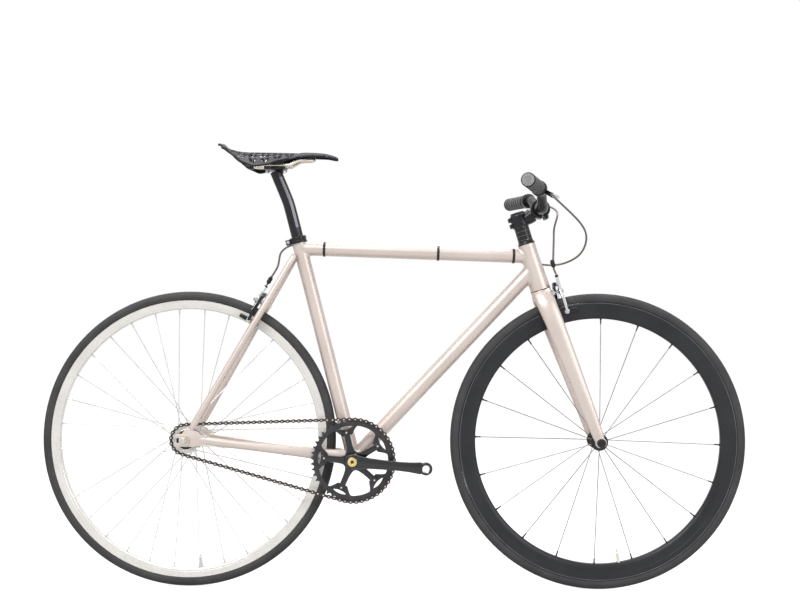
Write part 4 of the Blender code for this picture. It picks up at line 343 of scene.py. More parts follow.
# Dark and light colour, metallic, smooth and rough, grain, depth, coat, count of clouds
RAW_METAL = worked_finish(
    "raw_metal", (0.6, 0.515, 0.472), (0.715, 0.625, 0.577), 0.4, 0.36, 0.43, (60, 1100, 1),
    0.000004, 0.1, 7, coat_roughness=0.34, streak=0.25)
WELD_METAL = worked_finish(
    "weld_metal", (0.6, 0.52, 0.475), (0.72, 0.635, 0.58), 0.28, 0.28, 0.42, 500, 0.00003, 0.2, 9)
BLACK_METAL = worked_finish(
    "black_metal", (0.009, 0.009, 0.011), (0.017, 0.017, 0.02), 0, 0.24, 0.4, 1500, 0.00002,
    0.08, 30, gloss=0.25)
GLOSS_BLACK = worked_finish(
    "gloss_black", (0.007, 0.008, 0.009), (0.014, 0.015, 0.017), 0, 0.1, 0.22, 900, 0.00001,
    0.4, 25, gloss=0.3)
SILVER = worked_finish(
    "silver", (0.5, 0.5, 0.52), (0.66, 0.66, 0.68), 0.8, 0.16, 0.3, 1400, 0.00001, 0, 30,
    (0.32, 0.31, 0.3))
RIM_SILVER = worked_finish(
    "rim_silver", (0.78, 0.755, 0.715), (0.88, 0.855, 0.82), 0.3, 0.22, 0.34, (60, 1200, 1),
    0.00001, 0, 22)
STEEL_WIRE = worked_finish(
    "spoke_steel", (0.6, 0.59, 0.58), (0.74, 0.73, 0.72), 0.7, 0.2, 0.34, 900, 0.00001, 0, 40)
DARK_WIRE = worked_finish(
    "dark_spoke_steel", (0.2, 0.17, 0.155), (0.33, 0.29, 0.27), 0.6, 0.25, 0.4, 900, 0.00001,
    0, 40)
BRONZE = worked_finish(
    "chain_steel", (0.04, 0.028, 0.023), (0.085, 0.064, 0.053), 0.6, 0.28, 0.52, 1100, 0.00003,
    0, 120, (0.02, 0.016, 0.014))
# Painted highlight: a lighter grey that stands in for the sheen on the seatpost's two front flutes
# and for a bright line at the carbon rim's brake-track edge.
PAINTED_SHEEN = worked_finish(
    "painted_sheen", (0.085, 0.088, 0.105), (0.15, 0.155, 0.18), 0.5, 0.22, 0.36, 1300, 0.00001,
    0.1, 35)
# Painted highlight: light grey on the rib crests of a black rubber grip.
RIB_HIGHLIGHT = worked_finish(
    "painted_rib_highlight", (0.13, 0.13, 0.135), (0.22, 0.22, 0.225), 0, 0.5, 0.7, 1300, 0.00006, 0, 45)
# Painted highlight: light grey for the rings of the grip's end cap and the thin lines between the
# headset spacers.
PALE_GLINT = worked_finish(
    "painted_glint", (0.24, 0.24, 0.245), (0.42, 0.42, 0.43), 0, 0.4, 0.6, 1300, 0.00005, 0, 60)
EDGE_BAND = worked_finish(
    "saddle_band", (0.42, 0.42, 0.44), (0.55, 0.55, 0.57), 0.1, 0.3, 0.45, 1200, 0.00002, 0.1,
    40)
BRASS = worked_finish(
    "brass", (0.62, 0.45, 0.16), (0.8, 0.62, 0.28), 0.9, 0.2, 0.36, 1200, 0.00002, 0, 60)
GRIP = worked_finish(
    "grip_rubber", (0.022, 0.022, 0.024), (0.042, 0.042, 0.045), 0, 0.62, 0.85, 1300, 0.00008,
    0, 45, (0.06, 0.06, 0.06), 0.3)
PAD = worked_finish(
    "pad_rubber", (0.02, 0.02, 0.022), (0.035, 0.035, 0.038), 0, 0.6, 0.8, 1000, 0.00006, 0,
    60)
HOUSING = worked_finish(
    "cable_housing", (0.15, 0.112, 0.102), (0.205, 0.16, 0.148), 0, 0.3, 0.46, (600, 1500, 1),
    0.00004, 0.1, 30)
PLASTIC = worked_finish(
    "black_plastic", (0.013, 0.013, 0.014), (0.027, 0.027, 0.029), 0, 0.34, 0.52, 1600, 0.00004,
    0, 50, gloss=0.25)
SADDLE_SKIN = worked_finish(
    "saddle_skin", (0.012, 0.012, 0.016), (0.028, 0.028, 0.036), 0, 0.3, 0.46, 1300, 0.00003,
    0.03, 35, gloss=0.16)
PALE_RAIL = worked_finish(
    "pale_rail", (0.62, 0.56, 0.47), (0.76, 0.71, 0.62), 0.7, 0.22, 0.36, 1500, 0.00001, 0,
    40)
CARBON = carbon_finish("carbon")
TREAD = tread_finish("tyre_rubber")
RING_METAL = turned_finish("chainring_metal", (0.022, 0.022, 0.026), (0.05, 0.05, 0.056), 0.45,
                           BB, 5200, 0.28, 0.46)
COG_METAL = turned_finish("cog_metal", (0.42, 0.4, 0.38), (0.62, 0.6, 0.58), 0.85, REAR_AXLE,
                          6400, 0.2, 0.34)


# Mesh work

class Skin:
    """A piece under construction, with a grain map that holds metres around and along."""

    def __init__(self):
        self.bm = bmesh.new()
        self.grain = self.bm.loops.layers.uv.new("grain")
        self.finishes = []

    def index(self, finish):
        if finish not in self.finishes:
            self.finishes.append(finish)
        return self.finishes.index(finish)

    def face(self, corners, grains, finish):
        face = self.bm.faces.new(corners)
        face.material_index = self.index(finish)
        face.smooth = True
        for loop, grain in zip(face.loops, grains):
            loop[self.grain].uv = grain

    def rings(self, rings, around, along, finish, ends=(False, False)):
        """Walls through rings of points; a ring of one point is a pole."""
        rows = [[self.bm.verts.new(p) for p in ring] for ring in rings]
        for low, high, a, b in zip(rows, rows[1:], along, along[1:]):
            count = max(len(low), len(high))
            for i in range(count):
                k = (i + 1) % count
                u, w = around * i / count, around * (i + 1) / count
                if len(low) == 1:
                    self.face((low[0], high[k], high[i]), ((u, a), (w, b), (u, b)), finish)
                elif len(high) == 1:
                    self.face((low[i], low[k], high[0]), ((u, a), (w, a), (u, b)), finish)
                else:
                    self.face((low[i], low[k], high[k], high[i]),
                              ((u, a), (w, a), (w, b), (u, b)), finish)
        for wanted, row in zip(ends, (rows[0], rows[-1])):
            if wanted and len(row) > 2:
                self.face(row, [(0.01 * cos(TURN * i / len(row)), 0.01 * sin(TURN * i / len(row)))
                                for i in range(len(row))], finish)

    def add_mesh(self, mesh, matrix, finish):
        """Join a ready mesh; its grain map comes from its flat position."""
        start = len(self.bm.faces)
        mesh.transform(matrix)
        self.bm.from_mesh(mesh)
        self.bm.faces.ensure_lookup_table()
        number = self.index(finish)
        for face in self.bm.faces[start:]:
            face.material_index = number
            face.smooth = True
            for loop in face.loops:
                place = loop.vert.co
                loop[self.grain].uv = (place.x + place.y, place.z)
        bpy.data.meshes.remove(mesh)

    def to_mesh(self, name, crease=38):
        bmesh.ops.recalc_face_normals(self.bm, faces=self.bm.faces)
        mesh = bpy.data.meshes.new(name)
        self.bm.to_mesh(mesh)
        self.bm.free()
        for finish in self.finishes:
            mesh.materials.append(finish)
        mesh.set_sharp_from_angle(angle=radians(crease))
        return mesh


def linked(name, data):
    """New object in the scene."""
    item = bpy.data.objects.new(name, data)
    bpy.context.scene.collection.objects.link(item)
    return item


def evaluated(item):
    """Plain mesh of an object with its modifiers; the object goes."""
    bpy.context.view_layer.update()
    graph = bpy.context.evaluated_depsgraph_get()
    mesh = bpy.data.meshes.new_from_object(item.evaluated_get(graph), depsgraph=graph)
    bpy.data.objects.remove(item, do_unlink=True)
    return mesh


def settle(skin, body, slot, *nodes, name=None, crease=38, bend=None):
    """Make a piece of the skin and hide the nodes it stands for; it goes on its body, except that
    with a bend it only has its transform baked.
    """
    name = name or f"{nodes[0]}_skin"
    mesh = skin if isinstance(skin, bpy.types.Mesh) else skin.to_mesh(name, crease)
    item = linked(name, mesh)
    if bend:
        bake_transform(item)
    else:
        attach(item, body)
    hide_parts(*nodes)


def lengths(points):
    total = 0
    marks = [0]
    for a, b in zip(points, points[1:]):
        total += (b - a).length
        marks.append(total)
    return marks


def direction(path, i):
    return path[min(i + 1, len(path) - 1)] - path[max(i - 1, 0)]


def circle(matrix, radius, height, steps):
    """Points round the matrix's Z."""
    return [matrix @ Vector((radius * cos(TURN * k / steps), radius * sin(TURN * k / steps),
                             height)) for k in range(steps)]


def tube(skin, path, radii, finish, sides=24, hint=Z):
    """Round or oval tube through a path; a radius pair is (near the hint, across it)."""
    rings = []
    near = None
    for i, place in enumerate(path):
        heading = direction(path, i).normalized()
        start = hint if near is None else near
        if abs(start.normalized().dot(heading)) > 0.98:
            start = Y if abs(heading.dot(Y)) < 0.9 else X
        near = (start - heading * start.dot(heading)).normalized()
        across = heading.cross(near)
        radius = radii[i] if isinstance(radii, (list, tuple)) else radii
        one, two = radius if isinstance(radius, (list, tuple)) else (radius, radius)
        rings.append([place + near * one * cos(TURN * k / sides)
                      + across * two * sin(TURN * k / sides) for k in range(sides)])
    mean = (rings[0][0] - path[0]).length
    skin.rings(rings, TURN * max(mean, 0.001), lengths(path), finish, BOTH_ENDS)


def soften(profile, size, closed):
    """Cut the corners of a profile for a narrow bevel."""
    count = len(profile)
    result = []
    for i, point in enumerate(profile):
        if not closed and i in (0, count - 1):
            result.append(point)
            continue
        here = Vector(point)
        for other in (profile[i - 1], profile[(i + 1) % count]):
            away = Vector(other) - here
            result.append(tuple(here + away.normalized() * min(size, away.length * 0.45)))
    return result


def square(inner, outer, low, high):
    """Profile of a plain ring, or of a disc when inner is 0."""
    return [(inner, low), (outer, low), (outer, high), (inner, high)]


def mirrored(half):
    """Profile with its mirror image; a point at height 0 isn't doubled."""
    return half + [(r, -h) for r, h in reversed(half) if h]


def lathe(skin, profile, matrix, finish, steps=48, closed=False, bevel=0):
    """Turned shape from (radius, height) points round the matrix's Z."""
    if bevel:
        profile = soften(profile, bevel, closed)
    if closed:
        profile = [*profile, profile[0]]
    rings = [[at(matrix, 0, 0, height)] if radius < 1e-6 else circle(matrix, radius, height, steps)
             for radius, height in profile]
    along = lengths([Vector((r, 0, h)) for r, h in profile])
    skin.rings(rings, TURN * max(r for r, _ in profile), along, finish)


def slab(skin, outlines, thickness, matrix, finish, bevel, resolution=1):
    """Plate from closed outlines with rounded edges, the first one outside."""
    curve = bpy.data.curves.new("slab", "CURVE")
    curve.dimensions = "2D"
    curve.fill_mode = "BOTH"
    curve.extrude = thickness / 2 - bevel
    curve.bevel_depth = bevel
    curve.bevel_resolution = resolution
    curve.offset = -bevel
    for outline in outlines:
        spline = curve.splines.new("POLY")
        spline.points.add(len(outline) - 1)
        for point, (x, y) in zip(spline.points, outline):
            point.co = (x, y, 0, 1)
        spline.use_cyclic_u = True
    mesh = evaluated(linked("slab", curve))
    bpy.data.curves.remove(curve)
    weld = bmesh.new()
    weld.from_mesh(mesh)
    bmesh.ops.remove_doubles(weld, verts=weld.verts, dist=0.00001)
    weld.to_mesh(mesh)
    weld.free()
    skin.add_mesh(mesh, matrix, finish)


def brick(skin, size, matrix, finish, bevel):
    """Block with rounded edges."""
    box = bmesh.new()
    bmesh.ops.create_cube(box, size=1)
    bmesh.ops.scale(box, verts=box.verts, vec=size)
    bmesh.ops.bevel(box, geom=box.edges[:], offset=bevel, segments=2, affect="EDGES", profile=0.5)
    mesh = bpy.data.meshes.new("brick")
    box.to_mesh(mesh)
    box.free()
    skin.add_mesh(mesh, matrix, finish)


def bolt(skin, place, out, radius, height, finish, x_hint=Z):
    """Round bolt head with a hexagon socket."""
    matrix = frame_at(place, out, x_hint)
    hole = radius * 0.55
    depth = height * 0.7
    lathe(skin, [(0, 0), (radius, 0), (radius, height), (hole * 1.1, height)], matrix, finish, 24,
          bevel=radius * 0.12)
    skin.rings([circle(matrix, hole * 1.1, height, 24), circle(matrix, hole, height - depth, 24),
                [at(matrix, 0, 0, height - depth)]], 0.01, [0, depth, depth * 2], finish)


def hexagon(skin, place, out, flats, height, finish):
    """Hexagon nut with a chamfered crown."""
    matrix = frame_at(place, out, Z)
    radius = flats / 2 / cos(pi / 6)
    rings = [circle(matrix, radius * share, up, 6)
             for share, up in ((1, 0), (1, height * 0.82), (0.86, height), (0.45, height))]
    skin.rings(rings, TURN * radius, [0, height, height * 1.2, height * 1.6], finish, BOTH_ENDS)


def smooth_path(points, per_span):
    """Catmull-Rom curve through points."""
    ends = [2 * points[0] - points[1], *points, 2 * points[-1] - points[-2]]
    path = []
    for a, b, c, d in zip(ends, ends[1:], ends[2:], ends[3:]):
        for step in range(per_span):
            t = step / per_span
            path.append(0.5 * (2 * b + (c - a) * t + (2 * a - 5 * b + 4 * c - d) * t ** 2
                               + (3 * b - a - 3 * c + d) * t ** 3))
    path.append(points[-1].copy())
    return path


def smooth_values(values, per_span):
    return [p.x for p in smooth_path([Vector((v, 0, 0)) for v in values], per_span)]


def smooth_both(path, pairs, per_span):
    """Smooth path and the radius pairs along it."""
    columns = [smooth_values(column, per_span) for column in zip(*pairs)]
    return smooth_path(path, per_span), list(zip(*columns))


def clear_of(centre, distance, path, pairs):
    """The points and pairs outside a circle in the side plane."""
    return zip(*((p, pair) for p, pair in zip(path, pairs) if (p - centre).xz.length > distance))


def arc_points(centre, radius, start, stop, count):
    return [(centre[0] + radius * cos(start + (stop - start) * i / (count - 1)),
             centre[1] + radius * sin(start + (stop - start) * i / (count - 1)))
            for i in range(count)]


def smooth_strip(points, widths, per_span):
    """Outline of a strip along a flat smooth path with its own half width at each point."""
    path = smooth_path([Vector((x, y, 0)) for x, y in points], per_span)
    left, right = [], []
    for i, (point, half) in enumerate(zip(path, smooth_values(widths, per_span))):
        heading = direction(path, i)
        normal = Vector((-heading.y, heading.x, 0)).normalized() * half
        left.append((point.x + normal.x, point.y + normal.y))
        right.append((point.x - normal.x, point.y - normal.y))
    return left + right[::-1]


def blade(skin, points, widths, thickness, matrix, finish, bevel, resolution=2, per_span=5):
    """Flat blade along smooth points with its own half widths."""
    slab(skin, [smooth_strip(points, widths, per_span)], thickness, matrix, finish, bevel,
         resolution)


def turned(points, angle):
    """Flat points turned about the centre."""
    return [(x * cos(angle) - y * sin(angle), x * sin(angle) + y * cos(angle)) for x, y in points]


# Repeats by geometry nodes

def repeat_tree(name, find_points, **extra):
    """Tree that sets a piece on points, makes the copies real and gives them their finish."""
    tree = bpy.data.node_groups.new(name, "GeometryNodeTree")
    inputs = {"Geometry": "Geometry", "Piece": "Object", "Finish": "Material", **extra}
    for label, kind in inputs.items():
        tree.interface.new_socket(label, in_out="INPUT", socket_type=f"NodeSocket{kind}")
    tree.interface.new_socket("Geometry", in_out="OUTPUT", socket_type="NodeSocketGeometry")
    given = tree.nodes.new("NodeGroupInput").outputs
    points, turn = find_points(tree, given)
    piece = add_node(tree, "GeometryNodeObjectInfo", {"Object": given["Piece"]})
    placed = add_node(tree, "GeometryNodeInstanceOnPoints", {
        "Points": points, "Instance": piece.outputs["Geometry"], "Rotation": turn})
    real = add_node(tree, "GeometryNodeRealizeInstances", {0: placed.outputs[0]})
    paint = add_node(tree, "GeometryNodeSetMaterial", {
        "Geometry": real.outputs[0], "Material": given["Finish"]})
    add_node(tree, "NodeGroupOutput", {0: paint.outputs[0]})
    return tree


def axle_points(tree, given):
    """Even steps round an axle that lies along Y."""
    points = add_node(tree, "GeometryNodePoints", {
        "Count": given["Count"], "Position": given["Centre"]})
    index = add_node(tree, "GeometryNodeInputIndex").outputs[0]
    angle = calc(tree, "MULTIPLY", index, calc(tree, "DIVIDE", TURN, given["Count"]))
    return points.outputs[0], add_node(tree, "ShaderNodeCombineXYZ", {"Y": angle}).outputs[0]


def row_points(tree, given):
    """Every point of a row, each with its own turn."""
    turn = add_node(tree, "GeometryNodeInputNamedAttribute", {"Name": "turn"},
                    data_type="FLOAT_VECTOR")
    return given["Geometry"], turn.outputs["Attribute"]


AXLE_TREE = repeat_tree("round_an_axle", axle_points, Count="Int", Centre="Vector")
ROW_TREE = repeat_tree("along_a_row", row_points)


def run_tree(tree, skin, base, **values):
    """Repeat a skin by a tree on a base mesh and return the plain mesh."""
    values["Piece"] = linked("repeated_shape", skin.to_mesh("repeated_shape"))
    carrier = linked("carrier", base)
    modifier = carrier.modifiers.new("nodes", "NODES")
    modifier.node_group = tree
    for entry in tree.interface.items_tree:
        if entry.in_out == "INPUT" and entry.name in values:
            modifier[entry.identifier] = values[entry.name]
    mesh = evaluated(carrier)
    bpy.data.objects.remove(values["Piece"], do_unlink=True)
    return mesh


def round_axle(skin, count, centre, finish):
    return run_tree(AXLE_TREE, skin, bpy.data.meshes.new("base"), Count=count,
                    Centre=tuple(centre), Finish=finish)


def along_row(skin, places, turns, finish):
    base = bpy.data.meshes.new("base")
    base.from_pydata([tuple(p) for p in places], [], [])
    layer = base.attributes.new("turn", "FLOAT_VECTOR", "POINT")
    for entry, turn in zip(layer.data, turns):
        entry.vector = turn
    return run_tree(ROW_TREE, skin, base, Finish=finish)


def join_meshes(name, meshes):
    """One mesh from several, with their materials."""
    whole = bmesh.new()
    finishes = []
    for mesh in meshes:
        start = len(whole.faces)
        whole.from_mesh(mesh)
        whole.faces.ensure_lookup_table()
        for finish in mesh.materials:
            if finish not in finishes:
                finishes.append(finish)
        for face in whole.faces[start:]:
            face.material_index = finishes.index(mesh.materials[face.material_index])
    result = bpy.data.meshes.new(name)
    whole.to_mesh(result)
    whole.free()
    for finish in finishes:
        result.materials.append(finish)
    for mesh in meshes:
        bpy.data.meshes.remove(mesh)
    return result


# Frame: mitred tubes with filed weld fillets

def head_radius(height):
    low, high = HEAD_LENGTH * 0.12, HEAD_LENGTH * 0.75
    share = clamp((height - low) / (high - low))
    return HEAD_BOTTOM_RADIUS + (HEAD_TOP_RADIUS - HEAD_BOTTOM_RADIUS) * share


HEAD_TUBE = (steer(HEAD_BOTTOM), STEER_UP, head_radius)
SEAT_TUBE = (BB, SEAT_UP, lambda height: SEAT_TUBE_RADIUS)
SHELL = (BB, Y, lambda height: SHELL_RADIUS)
TOP_REAR = seat(TOP_TUBE_REAR)
TOP_FRONT = steer(HEAD_BOTTOM + TOP_TUBE_FRONT)
DOWN_FRONT = steer(HEAD_BOTTOM + DOWN_TUBE_FRONT)


def on_surface(main, point):
    """Nearest point of the main tube's surface."""
    origin, axis, radius = main
    height = (point - origin).dot(axis)
    foot = origin + height * axis
    return foot + (point - foot).normalized() * radius(height)


def meet(main, base, heading, reach, steps=120):
    """How far along a line from base it enters the main tube, or the whole reach."""
    def outside(distance):
        origin, axis, radius = main
        point = base + heading * distance
        height = (point - origin).dot(axis)
        return (point - origin - height * axis).length - radius(height)

    for i in range(1, steps + 1):
        if main and outside(reach * i / steps) < 0:
            low, high = reach * (i - 1) / steps, reach * i / steps
            break
    else:
        return reach
    for _ in range(30):
        middle = (low + high) / 2
        if outside(middle) > 0:
            low = middle
        else:
            high = middle
    return low


def branch(skin, start, end, radius, mains, width, sides=48, rows=24, steps=6):
    """Tube between two main tubes, cut to them, with a fillet where it meets each.

    mains hold a main tube or None for a free end.
    """
    heading = (end - start).normalized()
    reach = (end - start).length
    hint = X if abs(heading.z) > 0.9 else Z
    near = (hint - heading * hint.dot(heading)).normalized()
    across = heading.cross(near)
    middle = start.lerp(end, 0.5)
    angles = [TURN * k / sides for k in range(sides)]
    offsets = [near * radius * cos(a) + across * radius * sin(a) for a in angles]
    feet = [[meet(main, middle + offset, heading * way, reach / 2) for offset in offsets]
            for main, way in zip(mains, (-1, 1))]
    rings = []
    for j in range(rows + 1):
        ring = []
        for a, before, after in zip(angles, *feet):
            low, high = reach / 2 - before, reach / 2 + after
            ring.append(start + heading * (low + (high - low) * j / rows)
                        + near * radius * cos(a) + across * radius * sin(a))
        rings.append(ring)
    skin.rings(rings, TURN * radius, [reach * j / rows for j in range(rows + 1)], RAW_METAL,
               [main is None for main in mains])
    for main, way, marks in zip(mains, (-1, 1), feet):
        if main is None:
            continue
        fillet = [[] for _ in range(steps + 1)]
        for offset, mark in zip(offsets, marks):
            out = offset.normalized()
            corner = middle + offset + heading * way * mark
            up = corner - heading * way * width + out * 0.0001
            foot = on_surface(main, corner + out * width)
            foot += foot - on_surface(main, foot)
            lift = foot - main[0]
            foot += (lift - main[1] * lift.dot(main[1])).normalized() * 0.0001
            for row, ring in enumerate(fillet):
                t = row / steps
                ring.append(up * (1 - t) ** 2 + corner * 2 * t * (1 - t) + foot * t ** 2)
        skin.rings(fillet, TURN * radius, [width * row / 3 for row in range(steps + 1)], WELD_METAL)


def make_frame():
    skin = Skin()
    profile = [(HEAD_TOP_RADIUS - 0.0022, HEAD_LENGTH), (HEAD_TOP_RADIUS, HEAD_LENGTH)]
    for i in range(1, 16):
        height = HEAD_LENGTH * (1 - i / 16)
        profile.append((head_radius(height), height))
    profile += [(HEAD_BOTTOM_RADIUS, 0), (HEAD_BOTTOM_RADIUS - 0.005, 0)]
    lathe(skin, profile, steer_frame(HEAD_BOTTOM), RAW_METAL, 64, bevel=0.0005)
    settle(skin, "frame", "raw_metal", "head_tube")
    for name, start, end, radius, mains, width in (
            ("top_tube", TOP_REAR, TOP_FRONT, TOP_TUBE_RADIUS, (SEAT_TUBE, HEAD_TUBE), 0.0075),
            ("down_tube", BB, DOWN_FRONT, DOWN_TUBE_RADIUS, (SHELL, HEAD_TUBE), 0.0075),
            ("seat_tube", BB, seat(SEAT_TUBE_LENGTH), SEAT_TUBE_RADIUS, (SHELL, None), 0.007)):
        skin = Skin()
        branch(skin, start, end, radius, mains, width)
        settle(skin, "frame", "raw_metal", name)
    skin = Skin()
    lathe(skin, square(0.017, SHELL_RADIUS, -SHELL_HALF, SHELL_HALF), frame_at(BB, Y), RAW_METAL,
          64, bevel=0.0008)
    settle(skin, "frame", "raw_metal", "bottom_bracket_shell", name="shell_skin")


def stay_line(side):
    foot = REAR_AXLE + STAY_UP * (STAY_FOOT + GAP) + side * STAY_FOOT_SIDE * Y
    return foot, SEATSTAY_TOP + side * STAY_TOP_SIDE * Y


def make_seatstay(side):
    foot, top = stay_line(side)
    along = (top - foot).normalized()
    path = [foot - along * 0.004, foot, foot + along * 0.008, foot + along * 0.022,
            *(foot.lerp(top, 0.06 + 0.88 * i / 11) for i in range(1, 12)),
            top - along * 0.004, top, top + along * 0.0035]
    radii = [0.003, STAY_RADIUS * 0.8, STAY_RADIUS * 0.86, *[STAY_RADIUS] * 12,
             STAY_RADIUS * 0.97, STAY_RADIUS * 0.8, STAY_RADIUS * 0.4]
    skin = Skin()
    tube(skin, path, radii, RAW_METAL, 32)
    settle(skin, "frame", "raw_metal", f"seatstay_{SIDE_NAMES[side]}", crease=50)


def track_outline(half=0.014, slot=0.0053, tip=0.005, reach=0.0215):
    """Track end round the rear axle, its slot open to the rear."""
    left = STAY_UP * STAY_FOOT + STAY_BACK * 0.01
    right = STAY_UP * STAY_FOOT - STAY_BACK * 0.01
    return [*arc_points((tip - reach, half - tip), tip, pi, pi / 2, 6),
            (-0.006, half + 0.001), (left.x * 0.6 - 0.004, left.z * 0.72), (left.x, left.z),
            (right.x, right.z), (0.029, 0.0195), (0.036, 0.013), (0.05, 0.0095),
            (0.05, -0.0095), (0.034, -0.012), (0.02, -half),
            *arc_points((tip - reach, tip - half), tip, -pi / 2, -pi, 6),
            (-reach, -slot), *arc_points((0, 0), slot, -pi / 2, pi / 2, 12), (-reach, slot)]


# Share of the chainstay's length, side, half width and half height
CHAINSTAY_STATIONS = (
    (0, 0.0632, 0.0045, 0.009), (0.1, 0.06, 0.0065, 0.009),
    (0.35, 0.0505, 0.0088, 0.0095), (0.6, 0.0385, 0.0085, 0.0108),
    (0.76, 0.0315, 0.007, 0.0126), (0.9, 0.0285, 0.008, 0.0153),
    (1, 0.0255, 0.009, 0.016))


def make_chainstay(side):
    start = REAR_AXLE + 0.04 * X
    end = BB + Vector((-0.004, 0, 0.004))
    path = [start.lerp(end, share) for share, *_ in CHAINSTAY_STATIONS]
    for point, (_, y, _, _) in zip(path, CHAINSTAY_STATIONS):
        point.y = side * y
    path, pairs = clear_of(BB, SHELL_RADIUS - 0.003, *smooth_both(
        path, [(high, wide) for *_, wide, high in CHAINSTAY_STATIONS], 6))
    skin = Skin()
    tube(skin, [path[0] - 0.01 * X, path[0] - 0.006 * X, *path],
         [(0.006, 0.0015), (0.0082, 0.0036), *pairs], RAW_METAL, 32)
    place = REAR_AXLE + side * (TRACK_SIDE + TRACK_THICKNESS / 2) * Y
    slab(skin, [track_outline()], TRACK_THICKNESS, side_frame(place), RAW_METAL, 0.0006)
    settle(skin, "frame", "raw_metal", f"chainstay_{SIDE_NAMES[side]}", crease=45)


def bridge_centre():
    foot, top = stay_line(LEFT)
    low, high = 0, 1
    for _ in range(40):
        middle = (low + high) / 2
        point = foot.lerp(top, middle)
        point.y = 0
        if (point - REAR_AXLE).length < BRIDGE_TO_AXLE:
            low = middle
        else:
            high = middle
    return point


def make_bridge():
    centre = bridge_centre()
    foot, top = stay_line(LEFT)
    stay_length = 0.47
    half = foot.lerp(top, (centre - REAR_AXLE).length / stay_length).y - 0.002
    path = [centre + Y * half * s for s in (-1, -0.82, -0.6, 0, 0.6, 0.82, 1)]
    skin = Skin()
    tube(skin, path, [0.0095, 0.0078, *[BRIDGE_RADIUS] * 3, 0.0078, 0.0095], RAW_METAL, 32)
    settle(skin, "frame", "raw_metal", "brake_bridge", crease=50)


make_frame()
for side in (RIGHT, LEFT):
    make_seatstay(side)
    make_chainstay(side)
make_bridge()


# Fork

CROWN_TOP = HEAD_BOTTOM - GAP
CROWN_LOW = CROWN_TOP - 0.023
TIP_SIDE = FORK_TIP_FACE + GAP + 0.006
TIP_THICKNESS = 0.0116

# Height, forward, side, full chord and full width
BLADE_STATIONS = (
    (CROWN_LOW + 0.0215, 0, 0.011, 0.042, 0.013), (CROWN_LOW + 0.012, 0, 0.019, 0.044, 0.018),
    (CROWN_LOW, 0.0005, 0.0262, 0.0446, 0.0205),
    (CROWN_LOW - 0.014, 0.0012, 0.0324, 0.0442, 0.0216),
    (CROWN_LOW - 0.035, 0.0028, 0.0374, 0.043, 0.0206),
    (CROWN_LOW - 0.06, 0.005, 0.041, 0.0415, 0.019), (0.2, 0.011, 0.046, 0.037, 0.0172),
    (0.14, 0.015, TIP_SIDE - 0.007, 0.034, 0.016), (0.07, 0.0195, TIP_SIDE - 0.003, 0.03, 0.0138),
    (0.03, 0.0215, TIP_SIDE - 0.0005, 0.0268, 0.012), (0.012, 0.0226, TIP_SIDE, 0.0244, 0.0112),
    (0.0062, 0.0231, TIP_SIDE, 0.0208, 0.0108))


def tip_outline(slot=0.0048, opening=0.55):
    """Round fork tip with a slot open below."""
    return [*arc_points((0, 0), 0.0123, -pi / 2 + opening, 1.5 * pi - opening, 28),
            (-slot, -0.01), *arc_points((0, 0), slot, pi, 0, 10), (slot, -0.01)]


def make_fork():
    skin = Skin()
    low, top = CROWN_LOW, CROWN_TOP
    lathe(skin, [(0, top), (0.0229, top), (0.0232, low + 0.007), (0.0205, low + 0.001),
                 (0.012, low - 0.002), (0, low - 0.003)], steer_frame(0), RAW_METAL, 64,
          bevel=0.0008)
    tube(skin, [steer(top - 0.005), steer(STEM_TOP - 0.004)], STEERER_RADIUS, SILVER, 32)
    lathe(skin, square(0.015, 0.0233, -0.0011, 0.0006), steer_frame(top), PLASTIC, 64,
          closed=True, bevel=0.0002)
    for side in (RIGHT, LEFT):
        path, pairs = smooth_both(
            [steer(up, forward, side * y) for up, forward, y, _, _ in BLADE_STATIONS],
            [(chord / 2, wide / 2) for *_, chord, wide in BLADE_STATIONS], 5)
        tube(skin, path, pairs, RAW_METAL, 36, STEER_FORWARD)
        place = FRONT_AXLE + side * FORK_TIP_FACE * Y + side * 0.0062 * Y
        slab(skin, [tip_outline()], TIP_THICKNESS, frame_at(place, -Y, STEER_FORWARD),
             RAW_METAL, 0.0006)
    settle(skin, "steering", "raw_metal", "fork", crease=50)


make_fork()


# Headset, stem and handlebar

def make_headset():
    skin = Skin()
    lathe(skin, [(STEERER_BORE, COVER_HEIGHT), (0.017, COVER_HEIGHT), (0.0175, 0.006),
                 (0.0192, 0.003), (0.0199, 0.0018), (0.0199, 0), (STEERER_BORE, 0)],
          steer_frame(COVER_BOTTOM), BLACK_METAL, bevel=0.0004)
    settle(skin, "steering", "black_metal", "headset_cover")
    skin = Skin()
    for i in range(SPACER_COUNT):
        place = steer_frame(SPACERS_BOTTOM + i * SPACER_HEIGHT)
        lathe(skin, square(STEERER_BORE, SPACER_RADIUS, 0.0002, 0.0098), place, BLACK_METAL,
              closed=True, bevel=0.0005)
        # Thin light grey ring at the joint between spacers: a painted highlight.
        if i:
            lathe(skin, square(STEERER_BORE, 0.0166, -0.0003, 0.0003), place, PALE_GLINT, closed=True)
    settle(skin, "steering", "black_metal", "headset_spacers")
    skin = Skin()
    low = STEM_TOP + GAP
    lathe(skin, [(0, 0.0028), (0.0052, 0.0028), (0.0056, 0.005), (0.0143, 0.005),
                 (0.0165, 0.0035), (0.0165, 0), (0, 0)], steer_frame(low), BLACK_METAL,
          bevel=0.0004)
    bolt(skin, steer(low + 0.0012), STEER_UP, 0.0046, 0.003, SILVER, X)
    settle(skin, "steering", "black_metal", "top_cap")


# Share of the stem's length, half height, half width and drop
STEM_STATIONS = (
    (0.05, 0.0125, 0.0165, 0), (0.2, 0.0157, 0.0165, 0.0012), (0.35, 0.0165, 0.0165, 0.0014),
    (0.5, 0.0169, 0.0166, 0.001), (0.68, 0.0177, 0.0172, 0.0005), (0.84, 0.0193, 0.019, 0),
    (0.97, 0.0208, 0.0199, 0))


